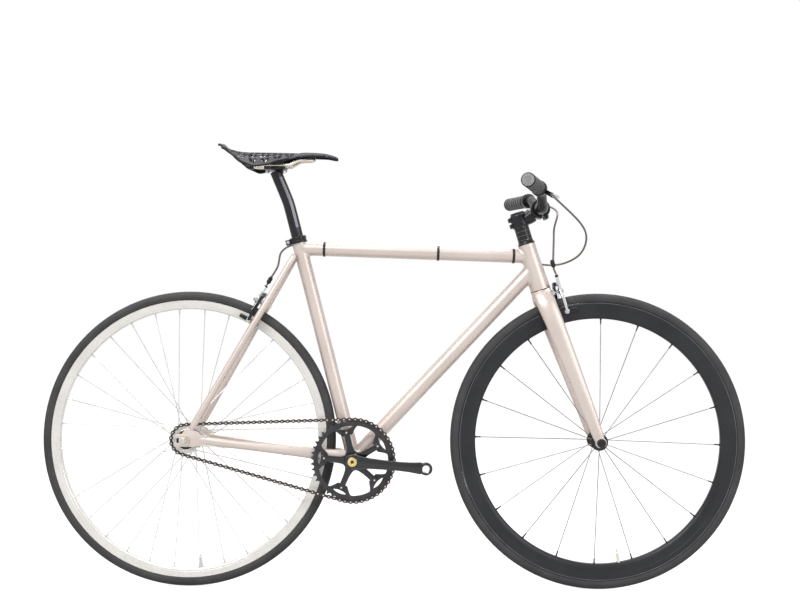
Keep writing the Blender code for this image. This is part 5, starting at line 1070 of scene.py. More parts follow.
def clamp_half(skin, first, last, count):
    """Half of the bar clamp, between two angles measured from the steering's forward."""
    first, last = (atan2(STEER_FORWARD.z, STEER_FORWARD.x) + radians(a) for a in (first, last))
    outline = arc_points((0, 0), BAR_CLAMP_RADIUS + 0.006, first, last, count)
    outline += arc_points((0, 0), BAR_CLAMP_RADIUS + GAP, last, first, 24)
    slab(skin, [outline], 0.04, side_frame(BAR_CENTRE), BLACK_METAL, 0.0008)


def make_stem():
    skin = Skin()
    lathe(skin, [(STEERER_BORE, 0), (0.019, 0), (STEM_RADIUS, 0.004),
                 (STEM_RADIUS, STEM_HEIGHT - 0.004), (0.0188, STEM_HEIGHT),
                 (STEERER_BORE, STEM_HEIGHT)], steer_frame(STEM_BOTTOM), BLACK_METAL,
          closed=True, bevel=0.0007)
    start = steer(STEM_MIDDLE, 0.01)
    along = BAR_CENTRE - start
    tilt = along.normalized().cross(Y)
    tube(skin, *clear_of(BAR_CENTRE, BAR_CLAMP_RADIUS + 0.0045, *smooth_both(
        [start + along * share - tilt * drop for share, _, _, drop in STEM_STATIONS],
        [pair for _, *pair, _ in STEM_STATIONS], 3)), BLACK_METAL, 36, tilt)
    clamp_half(skin, 95, 265, 24)
    for up in (0.0078, 0.0222):
        centre = steer(STEM_BOTTOM + up, -STEM_RADIUS + 0.001)
        brick(skin, (0.012, 0.018, 0.01), frame_at(centre, STEER_UP, STEER_FORWARD),
              BLACK_METAL, 0.0015)
        bolt(skin, centre - 0.0088 * Y, -Y, 0.0038, 0.002, BLACK_METAL)
    settle(skin, "steering", "black_metal", "stem", crease=45)

    skin = Skin()
    clamp_half(skin, -80, 80, 28)
    for up in (-1, 1):
        for side in (-1, 1):
            place = BAR_CENTRE + STEER_UP * up * 0.0222 + STEER_FORWARD * 0.0068 + Y * side * 0.013
            brick(skin, (0.0078, 0.013, 0.0086), frame_at(place, STEER_FORWARD, STEER_UP),
                  BLACK_METAL, 0.0012)
            bolt(skin, place + STEER_FORWARD * 0.004, STEER_FORWARD, 0.0036, 0.0034, SILVER)
    settle(skin, "steering", "black_metal", "stem_faceplate", crease=45)


def bar_straight(side):
    return (BAR_CENTRE + Vector((-0.0105, side * 0.118, 0.0326)),
            BAR_CENTRE + Vector((-0.0496, side * 0.254, 0.0371)))


def make_handlebar():
    offsets = ((0, 0.028, 0), (0, 0.05, 0.002), (-0.002, 0.07, 0.012), (-0.006, 0.095, 0.026))
    path = []
    for side in (RIGHT, LEFT):
        start, end = bar_straight(side)
        bend = [BAR_CENTRE + Vector((x, side * y, z)) for x, y, z in offsets]
        path = path[::-1] + smooth_path([*bend, start], 6) + [end]
    radii = [BAR_CLAMP_RADIUS + (BAR_RADIUS - BAR_CLAMP_RADIUS)
             * ease(clamp((abs(point.y) - 0.03) / 0.045)) for point in path]
    skin = Skin()
    tube(skin, path, radii, BLACK_METAL, 32)
    settle(skin, "steering", "black_metal", "handlebar", crease=50)


def grip_line(side):
    start, outer = bar_straight(side)
    return outer + (start - outer).normalized() * 0.115, outer


def make_grip(side, count=7):
    inner, outer = grip_line(side)
    matrix = frame_at(inner, outer - inner)
    name = f"grip_{SIDE_NAMES[side]}"
    skin = Skin()
    lathe(skin, [(0.0114, 0), (0.0166, 0), (0.0166, 0.004), (0.015, 0.0055), (0.0148, 0.108),
                 (0.0157, 0.11), (0.0157, 0.116), (0.0138, 0.118), (0.013, 0.1172),
                 (0, 0.1172)], matrix, GRIP, 40, bevel=0.0005)
    # The end cap's light grey rings are a painted highlight.
    lathe(skin, [(0, 0.1184), (0.003, 0.1184), (0.0034, 0.1177), (0.0062, 0.1177),
                 (0.0066, 0.1185), (0.0098, 0.1185), (0.0102, 0.1177), (0.0124, 0.1177),
                 (0.0128, 0.1182), (0.0136, 0.118)], matrix, PALE_GLINT, 40)
    body = skin.to_mesh(name)
    # The ribs are painted lighter than the grip: a painted highlight on their crests.
    rib = Skin()
    lathe(rib, [(0.0146, -0.0026), (0.0155, -0.002), (0.0157, 0), (0.0155, 0.002),
                (0.0146, 0.0026)], Matrix.Identity(4), RIB_HIGHLIGHT, 40)
    places = [at(matrix, 0, 0, 0.012 + i * 0.0152) for i in range(count)]
    ribs = along_row(rib, places, [tuple(matrix.to_euler())] * count, RIB_HIGHLIGHT)
    settle(join_meshes(name, [body, ribs]), "steering", "grip_rubber", name)


make_headset()
make_stem()
make_handlebar()
for side in (RIGHT, LEFT):
    make_grip(side)


# Wheels

def make_tyre(name, axle, body, count=24):
    base = radians(125)
    angles = [base - 2 * base * i / count for i in range(count + 1)]
    skin = Skin()
    lathe(skin, [(TYRE_RADIUS - TYRE_HALF + TYRE_HALF * cos(a), TYRE_HALF * sin(a))
                 for a in angles], frame_at(axle, Y), TREAD, 144, closed=True)
    settle(skin, body, "tyre_rubber", name, crease=60)


def make_rim(name, axle, body, depth, half, nose, finish, slot_name, valve_angle, valve_finish):
    """Rim with its valve; gives back the radius of its inner side."""
    skin = Skin()
    place = frame_at(axle, Y)
    track = RIM_BED - 0.0135
    low = RIM_BED - depth
    right = [(RIM_BED, -half * 0.93), (RIM_BED - 0.0008, -half), (track + 0.0004, -half),
             (track, -half + 0.0003)]
    steps = 10
    for i in range(1, steps + 1):
        t = i / steps
        bulge = (1 - t ** 2.6) ** (1 / 1.7)
        right.append((track - (track - low) * t, -(nose + (half - 0.0003 - nose) * bulge)))
    right.append((low, -nose * 0.55))
    lathe(skin, mirrored(right), place, finish, 144, closed=True)
    # A thin lighter ring at each brake-track edge: a painted highlight line.
    if finish is CARBON:
        for side in (RIGHT, LEFT):
            lathe(skin, square(RIM_BED - 0.0026, RIM_BED - 0.0012, side * half,
                               side * (half + 0.0001)), place, PAINTED_SHEEN, 144, closed=True)
    stem = frame_at(axle + spin(valve_angle) * (low + 0.001), -spin(valve_angle), Y)
    lathe(skin, [(0, -0.002), (0.003, -0.002), (0.003, 0.022), (0.0016, 0.023),
                 (0.0016, 0.03), (0, 0.0302)], stem, valve_finish, 16)
    lathe(skin, square(0.003, 0.0054, 0, 0.0028), stem, valve_finish, 16, bevel=0.0004)
    settle(skin, body, slot_name, name, crease=35)
    return low


def wire_spoke(start, end, radius, finish):
    """Spoke with a bent head at the hub."""
    along = (end - start).normalized()
    side = 1 if start.y > 0 else -1
    head = start - Y * side * 0.0034
    path = smooth_path([head, head + Y * side * 0.0016, start + along * 0.0012,
                        start + along * 0.006], 2) + [end]
    skin = Skin()
    tube(skin, path, radius, finish, 8, X)
    return skin


def nipple(start, end, finish, length):
    along = (end - start).normalized()
    top = start + along * ((end - start).length + 0.0022)
    skin = Skin()
    tube(skin, [top, top - along * 0.003, top - along * 0.005, top - along * (length + 0.002)],
         [0.0024, 0.0024, 0.0017, 0.0015], finish, 8, X)
    return skin


def make_hub(name, axle, body, profile, finish, slot_name, spokes, count, low, wire, wire_finish,
             nipple_finish, nipple_length):
    """Hub with its spokes: each family is an angle at hub and rim, a side and a hub offset."""
    skin = Skin()
    lathe(skin, profile, frame_at(axle, Y), finish, 48, closed=True, bevel=0.0006)
    parts = [skin.to_mesh(name)]
    for reach, hub_angle, rim_angle, side, offset in spokes:
        start = reach * spin(hub_angle) + Y * side * offset
        end = (low - 0.0005) * spin(rim_angle) + Y * side * 0.002
        parts += [round_axle(wire_spoke(start, end, wire, wire_finish), count, axle, wire_finish),
                  round_axle(nipple(start, end, nipple_finish, nipple_length), count, axle,
                             nipple_finish)]
    settle(join_meshes(name, parts), body, slot_name, name)


def make_front_wheel(flange=0.0195):
    make_tyre("front_tyre", FRONT_AXLE, "front_wheel")
    low = make_rim("front_rim", FRONT_AXLE, "front_wheel", 0.0375, 0.0123, 0.0042, CARBON,
                   "carbon", radians(-80), PALE_RAIL)
    profile = mirrored([
        (0.0051, 0.0497), (0.0088, 0.0497), (0.0092, 0.04), (0.014, 0.0365), (flange, 0.0355),
        (flange, 0.0325), (0.015, 0.0318), (0.0118, 0.027), (0.0112, 0)])
    spokes = []
    for side in (RIGHT, LEFT):
        angle = radians(88.5) + (0 if side == RIGHT else TURN / 20)
        spokes.append((flange - 0.003, angle, angle, side, 0.034))
    make_hub("front_hub", FRONT_AXLE, "front_wheel", profile, BLACK_METAL, "black_metal", spokes,
             10, low, 0.00095, DARK_WIRE, BLACK_METAL, 0.012)


def make_rear_wheel(flange=0.0235):
    make_tyre("rear_tyre", REAR_AXLE, "rear_wheel")
    low = make_rim("rear_rim", REAR_AXLE, "rear_wheel", 0.0205, 0.0098, 0.0054, RIM_SILVER,
                   "silver", radians(-84), SILVER)
    profile = [(0.0056, 0.0597), (0.0095, 0.0597), (0.01, 0.037), (0.0165, 0.0315),
               (flange, 0.0305), (flange, 0.0275), (0.0175, 0.027), (0.015, 0.021),
               (0.0143, 0), (0.015, -0.021), (0.0175, -0.027), (flange, -0.0275),
               (flange, -0.0305), (0.0168, -0.0312), (0.0168, -0.0458), (0.01, -0.047),
               (0.0095, -0.0597), (0.0056, -0.0597)]
    spokes = []
    for family, (side, turn) in enumerate(((RIGHT, 1), (LEFT, 1), (RIGHT, -1), (LEFT, -1))):
        rim_angle = radians(95) + family * TURN / 32
        spokes.append((flange - 0.003, rim_angle + turn * radians(67.5), rim_angle, side,
                       0.029 + turn * 0.0017))
    make_hub("rear_hub", REAR_AXLE, "rear_wheel", profile, SILVER, "silver", spokes, 8, low,
             0.001, STEEL_WIRE, SILVER, 0.01)


def make_axles():
    skin = Skin()
    lathe(skin, [(0, -0.0846), (0.0046, -0.0846), (0.005, -0.084), (0.005, 0.084),
                 (0.0046, 0.0846), (0, 0.0846)], frame_at(REAR_AXLE, Y), SILVER, 32)
    settle(skin, "frame", "silver", "rear_axle")
    for side in (RIGHT, LEFT):
        skin = Skin()
        inner = 0.0666
        matrix = frame_at(REAR_AXLE, side * Y)
        lathe(skin, square(0.0053, 0.012, inner, inner + 0.003), matrix, PALE_RAIL, 40,
              closed=True, bevel=0.0005)
        radius = 0.015 / 2 / cos(pi / 6)
        rings = [circle(matrix, reach, inner + up, 6)
                 for reach, up in ((0.0054, 0.003), (radius, 0.003), (radius, 0.0125),
                                   (radius * 0.88, 0.014), (0.0054, 0.014))]
        skin.rings(rings, TURN * radius, [0, 0.004, 0.014, 0.016, 0.02], PALE_RAIL)
        settle(skin, "frame", "silver", f"axle_nut_{SIDE_NAMES[side]}")
    skin = Skin()
    inner = 0.0626
    lathe(skin, [(0, 0.0726), (0.0062, 0.0726), (0.0082, 0.0722), (0.01, 0.0706),
                 (0.01, 0.0636), (0.0092, inner), (0.0045, inner), (0.0045, -0.0596),
                 (0, -0.0596)], frame_at(FRONT_AXLE, -Y), BLACK_METAL, 40, bevel=0.0003)
    settle(skin, "steering", "black_metal", "front_axle")


make_front_wheel()
make_rear_wheel()
make_axles()


# Drivetrain

CHAIN_SLOPE = atan2((BB - REAR_AXLE).z, (BB - REAR_AXLE).x)
ARM_ANGLES = [CRANK_ANGLE + radians(36) + i * TURN / 5 for i in range(5)]
RING_FACE = CHAINLINE + 0.00135 + GAP


def sprocket_radius(teeth):
    return CHAIN_PITCH / (2 * sin(pi / teeth))


def sprocket_outline(teeth, first_gap, seat_radius=0.0042):
    """Teeth with round seats for the rollers."""
    pitch_radius = sprocket_radius(teeth)
    tip = pitch_radius + 0.0022
    step = TURN / teeth
    outline = []
    for i in range(teeth):
        gap = first_gap + i * step
        centre = Vector((pitch_radius * cos(gap), pitch_radius * sin(gap)))
        for k in range(5):
            angle = gap + pi + radians(62 - 31 * k)
            outline.append((centre.x + seat_radius * cos(angle),
                            centre.y + seat_radius * sin(angle)))
        for share in (0.43, 0.57):
            angle = gap + step * share
            outline.append((tip * cos(angle), tip * sin(angle)))
    return outline


def ring_inner(angle):
    """Inner radius of the chainring, smaller at its five lugs."""
    step = TURN / 5
    offset = abs((angle + step / 2) % step - step / 2)
    return 0.0585 + 0.0205 * ease(clamp((offset - radians(9.5)) / radians(11.5)))


def make_chainring():
    inner = []
    for i in range(160):
        angle = ARM_ANGLES[0] + TURN * i / 160
        radius = ring_inner(angle - ARM_ANGLES[0])
        inner.append((radius * cos(angle), radius * sin(angle)))
    window = []
    for side in (1, -1):
        for k in range(12):
            x = side * (-1 + 2 * k / 12)
            window.append((0.0757 + side * 0.0036 * (1 - x * x), x * 0.016))
    skin = Skin()
    slab(skin, [sprocket_outline(RING_TEETH, CHAIN_SLOPE), inner,
                *(turned(window, arm) for arm in ARM_ANGLES)], SPROCKET_THICKNESS,
         side_frame(BB - CHAINLINE * Y), RING_METAL, 0.0003)
    for arm in ARM_ANGLES:
        place = BB + spin(arm) * BOLT_CIRCLE / 2
        lathe(skin, square(0, 0.0052, -0.001, 0),
              frame_at(place - (CHAINLINE - 0.0014) * Y + 0.0008 * Y, Y), RING_METAL, 20)
    settle(skin, "cranks", "gunmetal", "chainring", crease=30)


def spider_outline():
    edge = [(0.019, -0.0112), (0.025, -0.0084), (0.038, -0.0068), (0.052, -0.0066)]
    arm_edge = [*edge, *arc_points((0.065, 0), 0.007, -pi * 0.52, pi * 0.52, 11),
                *((x, -y) for x, y in reversed(edge))]
    return [point for arm in ARM_ANGLES for point in turned(arm_edge, arm)]


# Reach from the middle, half height and half thickness
CRANK_STATIONS = (
    (-0.0165, 0.004, 0.004), (-0.014, 0.01, 0.005), (-0.006, 0.0155, 0.0062),
    (0.006, 0.016, 0.0062), (0.02, 0.0138, 0.0062), (0.04, 0.0118, 0.0062),
    (0.07, 0.0107, 0.006), (0.105, 0.0102, 0.0057), (0.128, 0.011, 0.0057),
    (0.141, 0.0123, 0.0058), (0.149, 0.0133, 0.0058), (0.1532, 0.0134, 0.0058),
    (0.1572, 0.012, 0.0056))


def crank_shape(skin, side, angle):
    """Tapered arm with round ends; its outer face is crowned along the middle."""
    heading = spin(angle)
    across = Vector((-heading.z, 0, heading.x))
    middle = CRANK_FACE - CRANK_THICKNESS / 2
    rings = []
    for reach, half, thick in CRANK_STATIONS:
        ring = []
        for k in range(28):
            ca, sa = cos(TURN * k / 28), sin(TURN * k / 28)
            x = copysign(abs(ca) ** 0.62, ca) * half
            y = copysign(abs(sa) ** 0.55, sa) * thick
            ring.append(BB + heading * reach + across * x + Y * (side * middle + y))
        rings.append(ring)
    skin.rings(rings, TURN * 0.012, [s[0] + 0.02 for s in CRANK_STATIONS], GLOSS_BLACK, BOTH_ENDS)
    matrix = frame_at(BB + heading * CRANK_LENGTH, side * Y, heading)
    low, high = CRANK_FACE - CRANK_THICKNESS - 0.0005, CRANK_FACE + 0.0005
    lathe(skin, [(0.0074, low), (0.012, low), (0.0145, low + 0.0025), (0.0145, high - 0.0025),
                 (0.0122, high), (0.0086, high), (0.0074, high - 0.0012)], matrix, GLOSS_BLACK, 40,
          closed=True, bevel=0.0004)
    lathe(skin, [(0.0071, low + 0.0002), (0.0078, low + 0.0002), (0.0086, high + 0.0001),
                 (0.0074, high - 0.0004), (0.0071, high - 0.001)], matrix, SILVER, 40,
          closed=True)


def crank_boss(skin, matrix, foot, cap):
    """Boss of a crank with its brass cap."""
    lathe(skin, [(0.009, foot[0][1]), *foot, (0.015, 0.0762), (0.0112, 0.0765), (0, 0.0765)],
          matrix, GLOSS_BLACK, bevel=0.0006)
    lathe(skin, [(0, 0.0752), (0.0036, 0.0752), (0.0038, 0.0768), *cap, (0.0106, 0.076)],
          matrix, BRASS, 40, bevel=0.0003)


def make_right_crank():
    skin = Skin()
    crank_shape(skin, RIGHT, CRANK_ANGLE)
    slab(skin, [spider_outline()], 0.006, side_frame(BB - (RING_FACE + 0.003) * Y), GLOSS_BLACK,
         0.0012, 2)
    crank_boss(skin, frame_at(BB, -Y), [
        (0.0205, RING_FACE - 0.001), (0.0205, RING_FACE + 0.004), (0.0185, RING_FACE + 0.012),
        (0.0172, 0.07), (0.017, 0.074)], [(0.007, 0.077), (0.01, 0.0768)])
    for arm in ARM_ANGLES:
        place = BB + spin(arm) * BOLT_CIRCLE / 2 - Y * (RING_FACE + 0.0056)
        bolt(skin, place, -Y, 0.0048, 0.0016, RING_METAL)
        lathe(skin, [(0, 0), (0.0021, 0), (0.0021, 0.002), (0, 0.0021)],
              frame_at(place, -Y), SILVER, 16)
    settle(skin, "cranks", "black_metal", "crank_right", crease=42)


def make_left_crank():
    skin = Skin()
    crank_shape(skin, LEFT, CRANK_ANGLE + pi)
    start = SHELL_HALF + 0.003 + 0.004
    crank_boss(skin, frame_at(BB, Y), [(0.017, start), (0.0175, start + 0.002), (0.0172, 0.074)],
               [(0.01, 0.0768)])
    settle(skin, "cranks", "black_metal", "crank_left", crease=42)


def chain_joints():
    """Pin centres of the closed chain, in order."""
    ring, cog = sprocket_radius(RING_TEETH), sprocket_radius(COG_TEETH)
    tangent = pi / 2 + asin((ring - cog) / (BB - REAR_AXLE).length)
    on_ring = floor(tangent * RING_TEETH / TURN + 0.5)
    on_cog = floor((pi - tangent) * COG_TEETH / TURN + 0.5)
    run = CHAIN_PITCHES // 2 - on_ring - on_cog
    first = [BB + ring * spin(CHAIN_SLOPE - i * TURN / RING_TEETH)
             for i in range(-on_ring, on_ring + 1)]
    second = [REAR_AXLE + cog * spin(CHAIN_SLOPE + pi - i * TURN / COG_TEETH)
              for i in range(-on_cog, on_cog + 1)]
    lower = [first[-1].lerp(second[0], i / run) for i in range(1, run)]
    upper = [second[-1].lerp(first[0], i / run) for i in range(1, run)]
    return first + lower + second + upper


def link_outline(radius=0.0042):
    """Waisted link plate, centred between its pins."""
    outline = []
    for sign in (1, -1):
        for k in range(9):
            angle = radians(-114 + 228 * k / 8) + (0 if sign > 0 else pi)
            outline.append((sign * CHAIN_PITCH / 2 + radius * cos(angle), radius * sin(angle)))
        outline += [(sign * 0.0022, sign * 0.0025), (0, sign * 0.0021),
                    (sign * -0.0022, sign * 0.0025)]
    return outline


def make_chain(plate=0.00095):
    joints = chain_joints()
    middles = [(a + b) / 2 - CHAINLINE * Y for a, b in zip(joints, joints[1:] + joints[:1])]
    turns = [(0, -atan2((b - a).z, (b - a).x), 0) for a, b in zip(joints, joints[1:] + joints[:1])]
    meshes = []
    for kind, inner in enumerate((0.00268, 0.00168)):
        link = Skin()
        for side in (-1, 1):
            slab(link, [link_outline()], plate, side_frame(Y * side * (inner + plate / 2)), BRONZE,
                 0.0002, 0)
        meshes.append(along_row(link, middles[kind::2], turns[kind::2], BRONZE))
    places = [p - CHAINLINE * Y for p in joints]
    still = [(0, 0, 0)] * len(joints)
    pin = Skin()
    lathe(pin, [(0, -0.0038), (0.0013, -0.0038), (0.0022, -0.0035), (0.0022, 0.0035),
                (0.0013, 0.0038), (0, 0.0038)], frame_at(ORIGIN, Y), SILVER, 12)
    meshes.append(along_row(pin, places, still, SILVER))
    roller = Skin()
    lathe(roller, square(0.0022, 0.0038, -0.0016, 0.0016), frame_at(ORIGIN, Y), BRONZE, 14,
          closed=True)
    meshes.append(along_row(roller, places, still, BRONZE))
    settle(join_meshes("chain", meshes), "frame", "bronze_steel", "chain", name="chain_links")


def make_cog():
    skin = Skin()
    hole = arc_points((0, 0), 0.0215, 0, TURN * 59 / 60, 60)
    slab(skin, [sprocket_outline(COG_TEETH, CHAIN_SLOPE + pi), hole], SPROCKET_THICKNESS,
         side_frame(REAR_AXLE - CHAINLINE * Y), COG_METAL, 0.0003)
    matrix = frame_at(REAR_AXLE, -Y)
    lathe(skin, [(0.0176, 0.037), (0.024, 0.037), (0.024, 0.0462), (0.0226, 0.047),
                 (0.0212, 0.047), (0.0208, 0.0455), (0.0176, 0.0455)], matrix, COG_METAL, 60,
          closed=True, bevel=0.0004)
    lathe(skin, square(0.0172, 0.0208, 0.045, 0.046), matrix, PLASTIC, 60, closed=True,
          bevel=0.0002)
    settle(skin, "freewheel", "silver", "freewheel_cog", crease=30)


def make_bottom_bracket():
    skin = Skin()
    face = SHELL_HALF + GAP
    for side, profile in (
            (RIGHT, [(0.0092, face), (0.0193, face), (0.0193, face + 0.0022),
                     (0.0178, face + 0.0029), (0.0092, face + 0.0029)]),
            (LEFT, square(0.0092, 0.0166, face - 0.001, face + 0.0025))):
        lathe(skin, profile, frame_at(BB, side * Y), BLACK_METAL, closed=True, bevel=0.0004)
    settle(skin, "frame", "black_metal", "bottom_bracket_unit", name="bottom_bracket_cups")


make_chainring()
make_right_crank()
make_left_crank()
make_chain()
make_cog()
make_bottom_bracket()


# Seat

def seatpost_path():
    top = SEAT_TUBE_LENGTH
    bend = seat(top + 0.085)
    head = seat(top + 0.1625, 0.0115)
    below = seat(top + 0.06)
    above = bend.lerp(head, 0.35)
    return [seat(top - 0.1), below, (below + above + 4 * bend) / 6, above, head]


POST_HEAD = seatpost_path()[-1]
RAIL_HEIGHT = POST_HEAD.z + 0.012
RAIL_SIDE = 0.022


def on_head(back, side, up):
    """Place above the post's head, measured from the rails' height."""
    return shifted(POST_HEAD.x + back, side, RAIL_HEIGHT + up)


def make_collar():
    skin = Skin()
    low = SEAT_TUBE_LENGTH - 0.015 * 0.75
    lathe(skin, [(0.0163, 0), (0.0193, 0), (0.0195, 0.0035), (0.0186, 0.006), (0.0195, 0.0095),
                 (0.0195, 0.014), (0.018, 0.015), (0.014, 0.015), (0.014, 0.0116),
                 (0.0163, 0.0116)], frame_at(seat(low), SEAT_UP), BLACK_METAL, closed=True,
          bevel=0.0004)
    for side in (RIGHT, LEFT):
        centre = seat(low + 0.0075, 0.0195 + 0.003, side * 0.0052)
        brick(skin, (0.013, 0.0078, 0.0118), frame_at(centre, SEAT_UP, SEAT_BACK), BLACK_METAL,
              0.0014)
    bolt(skin, seat(low + 0.0075, 0.0232, -0.009), -Y, 0.0038, 0.0018, SILVER)
    settle(skin, "frame", "black_metal", "seat_collar", crease=42)


def post_radius(angle, mark, total):
    """The post's radius with its four flutes, which fade out at both ends."""
    fade = clamp((mark - 0.112) / 0.012) * clamp((total - 0.006 - mark) / 0.012)
    gap = min(abs((degrees(angle) - centre + 180) % 360 - 180) for centre in (60, 120, 240, 300))
    return 0.01355 - 0.0011 * exp(-(gap / 13) ** 2) * fade


def make_seatpost(sides=48):
    """Post with long flutes on both sides and a cradle head."""
    foot, below, middle, above, head = seatpost_path()
    path = [foot, foot.lerp(below, 0.33), foot.lerp(below, 0.69), foot.lerp(below, 0.78),
            *smooth_path([below, middle, above], 4), above.lerp(head, 0.5),
            above.lerp(head, 0.66), above.lerp(head, 0.86), head]
    marks = lengths(path)
    rings = []
    for i, place in enumerate(path):
        heading = direction(path, i).normalized()
        near = (X - heading * X.dot(heading)).normalized()
        across = heading.cross(near)
        ring = []
        for k in range(sides):
            a = TURN * k / sides
            radius = post_radius(a, marks[i], marks[-1])
            ring.append(place + near * radius * cos(a) + across * radius * sin(a))
        rings.append(ring)
    skin = Skin()
    skin.rings(rings, TURN * 0.0135, marks, BLACK_METAL, BOTH_ENDS)
    skin.bm.faces.ensure_lookup_table()
    # The two flutes towards the front take the lighter colour: a painted highlight band.
    sheen_index = skin.index(PAINTED_SHEEN)
    for j in range(len(path) - 1):
        if marks[j] < 0.118 or marks[j + 1] > marks[-1] - 0.01:
            continue
        for i in range(sides):
            place = 360 * (i + 0.5) / sides
            if min(abs(place - 60), abs(place - 300)) < 16:
                skin.bm.faces[j * sides + i].material_index = sheen_index
    brick(skin, (0.048, 0.056, 0.0066), on_head(0, 0, -0.0068), BLACK_METAL, 0.0018)
    for side in (RIGHT, LEFT):
        brick(skin, (0.048, 0.0105, 0.0036), on_head(0, side * RAIL_SIDE, -0.0048), BLACK_METAL,
              0.001)
    for back in (-0.019, 0.019):
        lathe(skin, [(0, -0.007), (0.0036, -0.007), (0.0044, -0.005), (0.0044, 0), (0, 0)],
              on_head(back, 0, -0.009), SILVER, 20, bevel=0.0004)
    settle(skin, "seat", "black_metal", "seatpost", crease=40)

    skin = Skin()
    brick(skin, (0.04, 0.0555, 0.0028), on_head(0, 0, 0.005), BLACK_METAL, 0.001)
    for side in (RIGHT, LEFT):
        for edge in (-1, 1):
            place = on_head(0, side * RAIL_SIDE + edge * 0.0046, 0.0032)
            brick(skin, (0.04, 0.0014, 0.0036), place, BLACK_METAL, 0.0005)
    for back in (-0.012, 0.012):
        bolt(skin, on_head(back, 0, 0.0062).translation, Z, 0.004, 0.0003, SILVER, X)
    settle(skin, "seat", "black_metal", "saddle_clamp", crease=42)


SADDLE_CROWN = RAIL_HEIGHT + 0.0258
SADDLE_TAIL = POST_HEAD.x - 0.1274
SADDLE_LENGTH = 0.269

# Share of the length, half width, crown height and side drop
SADDLE_STATIONS = (
    (0, 0.026, 0.0245, 0.002), (0.06, 0.04, 0.016, 0.004), (0.13, 0.053, 0.009, 0.014),
    (0.22, 0.062, 0.006, 0.0295), (0.31, 0.064, 0.006, 0.039), (0.41, 0.054, 0.006, 0.034),
    (0.51, 0.039, 0.0055, 0.022), (0.61, 0.0275, 0.005, 0.014), (0.71, 0.022, 0.0045, 0.009),
    (0.81, 0.02, 0.004, 0.007), (0.91, 0.018, 0.002, 0.006), (1, 0.009, -0.006, 0.003))


def saddle_station(share):
    """Half width, crown height and side drop at a share of the length."""
    for low, high in zip(SADDLE_STATIONS, SADDLE_STATIONS[1:]):
        if share <= high[0]:
            t = (share - low[0]) / (high[0] - low[0])
            t = ease(t) * 0.5 + t * 0.5
            return tuple(a + (b - a) * t for a, b in zip(low[1:], high[1:]))
    return SADDLE_STATIONS[-1][1:]


def saddle_point(share, across, lift=0):
    half, crown, drop = saddle_station(share)
    x = SADDLE_TAIL + share * SADDLE_LENGTH
    if share < 0.06:
        x += 0.014 * max(0, 0.6 - abs(across)) * (1 - share / 0.06)
    z = SADDLE_CROWN + crown - drop * abs(across) ** 2.2
    return Vector((x, across * half, z + lift))


def saddle_net(rows=20, columns=8):
    """Slanted net whose cells are open between the edges and from the tail to the neck."""
    net = bmesh.new()
    grid = []
    for j in range(rows + 1):
        line = []
        for i in range(columns + 1):
            across = -1 + 2 * i / columns
            if j % 2 and 0 < i < columns:
                across += 0.45 / columns
            line.append(net.verts.new(saddle_point(j / rows, across)))
        grid.append(line)
    for j in range(rows):
        for i in range(columns):
            a, b = grid[j][i:i + 2]
            d, c = grid[j + 1][i:i + 2]
            for corners in ((a, b, d), (b, c, d)) if j % 2 else ((a, b, c), (a, c, d)):
                net.faces.new(corners)
    opened = []
    for face in net.faces:
        middle = face.calc_center_median()
        share = (middle.x - SADDLE_TAIL) / SADDLE_LENGTH
        half = saddle_station(clamp(share))[0]
        if abs(middle.y) / half < 0.82 and 0.07 < share < 0.66:
            opened.append(face)
    bmesh.ops.inset_individual(net, faces=opened, thickness=0.0013, depth=0)
    bmesh.ops.delete(net, geom=opened, context="FACES")
    mesh = bpy.data.meshes.new("saddle_net")
    net.to_mesh(mesh)
    net.free()
    item = linked("saddle_net", mesh)
    solid = item.modifiers.new("thickness", "SOLIDIFY")
    solid.thickness = 0.002
    solid.offset = -1
    round_off = item.modifiers.new("round_off", "SUBSURF")
    round_off.levels = 1
    round_off.render_levels = 1
    return evaluated(item)


def make_saddle():
    """Webbed shell whose rim and spine stay whole."""
    skin = Skin()
    skin.add_mesh(saddle_net(), Matrix.Identity(4), SADDLE_SKIN)
    for side in (RIGHT, LEFT):
        edge = [saddle_point(i / 40, side * 0.985, -0.0012) for i in range(41)]
        tube(skin, edge, 0.0024, SADDLE_SKIN, 12)
        band = [saddle_point(0.6 + 0.36 * i / 16, side * 1, -0.001) + side * 0.001 * Y
                for i in range(17)]
        tube(skin, band, 0.001, EDGE_BAND, 10)
        socket = rail_points(side)[0] - 0.001 * X + 0.0066 * Z
        brick(skin, (0.014, 0.013, 0.027), shifted(*socket), PLASTIC, 0.002)
    spine = [saddle_point(i / 20, 0, -0.0025) for i in range(2, 20)]
    tube(skin, spine, [(0.0016, 0.0045)] * len(spine), SADDLE_SKIN, 12)
    for share, sink in ((0, -0.0027), (1, -0.0012)):
        end = [saddle_point(share, -0.985 + 1.97 * i / 12, sink) for i in range(13)]
        tube(skin, end, 0.0024, SADDLE_SKIN, 12)
    tip = rail_points(RIGHT)[-1]
    brick(skin, (0.018, 0.02, 0.0092), shifted(tip.x - 0.004, 0, tip.z + 0.0084), PLASTIC, 0.002)
    settle(skin, "seat", "carbon", "saddle_shell", crease=60)


def rail_points(side):
    front = SADDLE_TAIL + SADDLE_LENGTH * 0.8
    rear = SADDLE_TAIL + SADDLE_LENGTH * 0.25
    nose = SADDLE_CROWN - 0.012
    head, height = POST_HEAD.x, RAIL_HEIGHT
    return [Vector((x, side * y, z)) for x, y, z in (
        (rear, RAIL_SIDE + 0.008, height + 0.004),
        (rear + 0.015, RAIL_SIDE + 0.002, height + 0.0005),
        (head - 0.028, RAIL_SIDE, height), (head + 0.028, RAIL_SIDE, height),
        (head + 0.042, RAIL_SIDE - 0.001, height + 0.005),
        (head + 0.058, RAIL_SIDE - 0.006, height + 0.0122), (front - 0.01, 0.01, nose - 0.001),
        (front, 0.004, nose))]


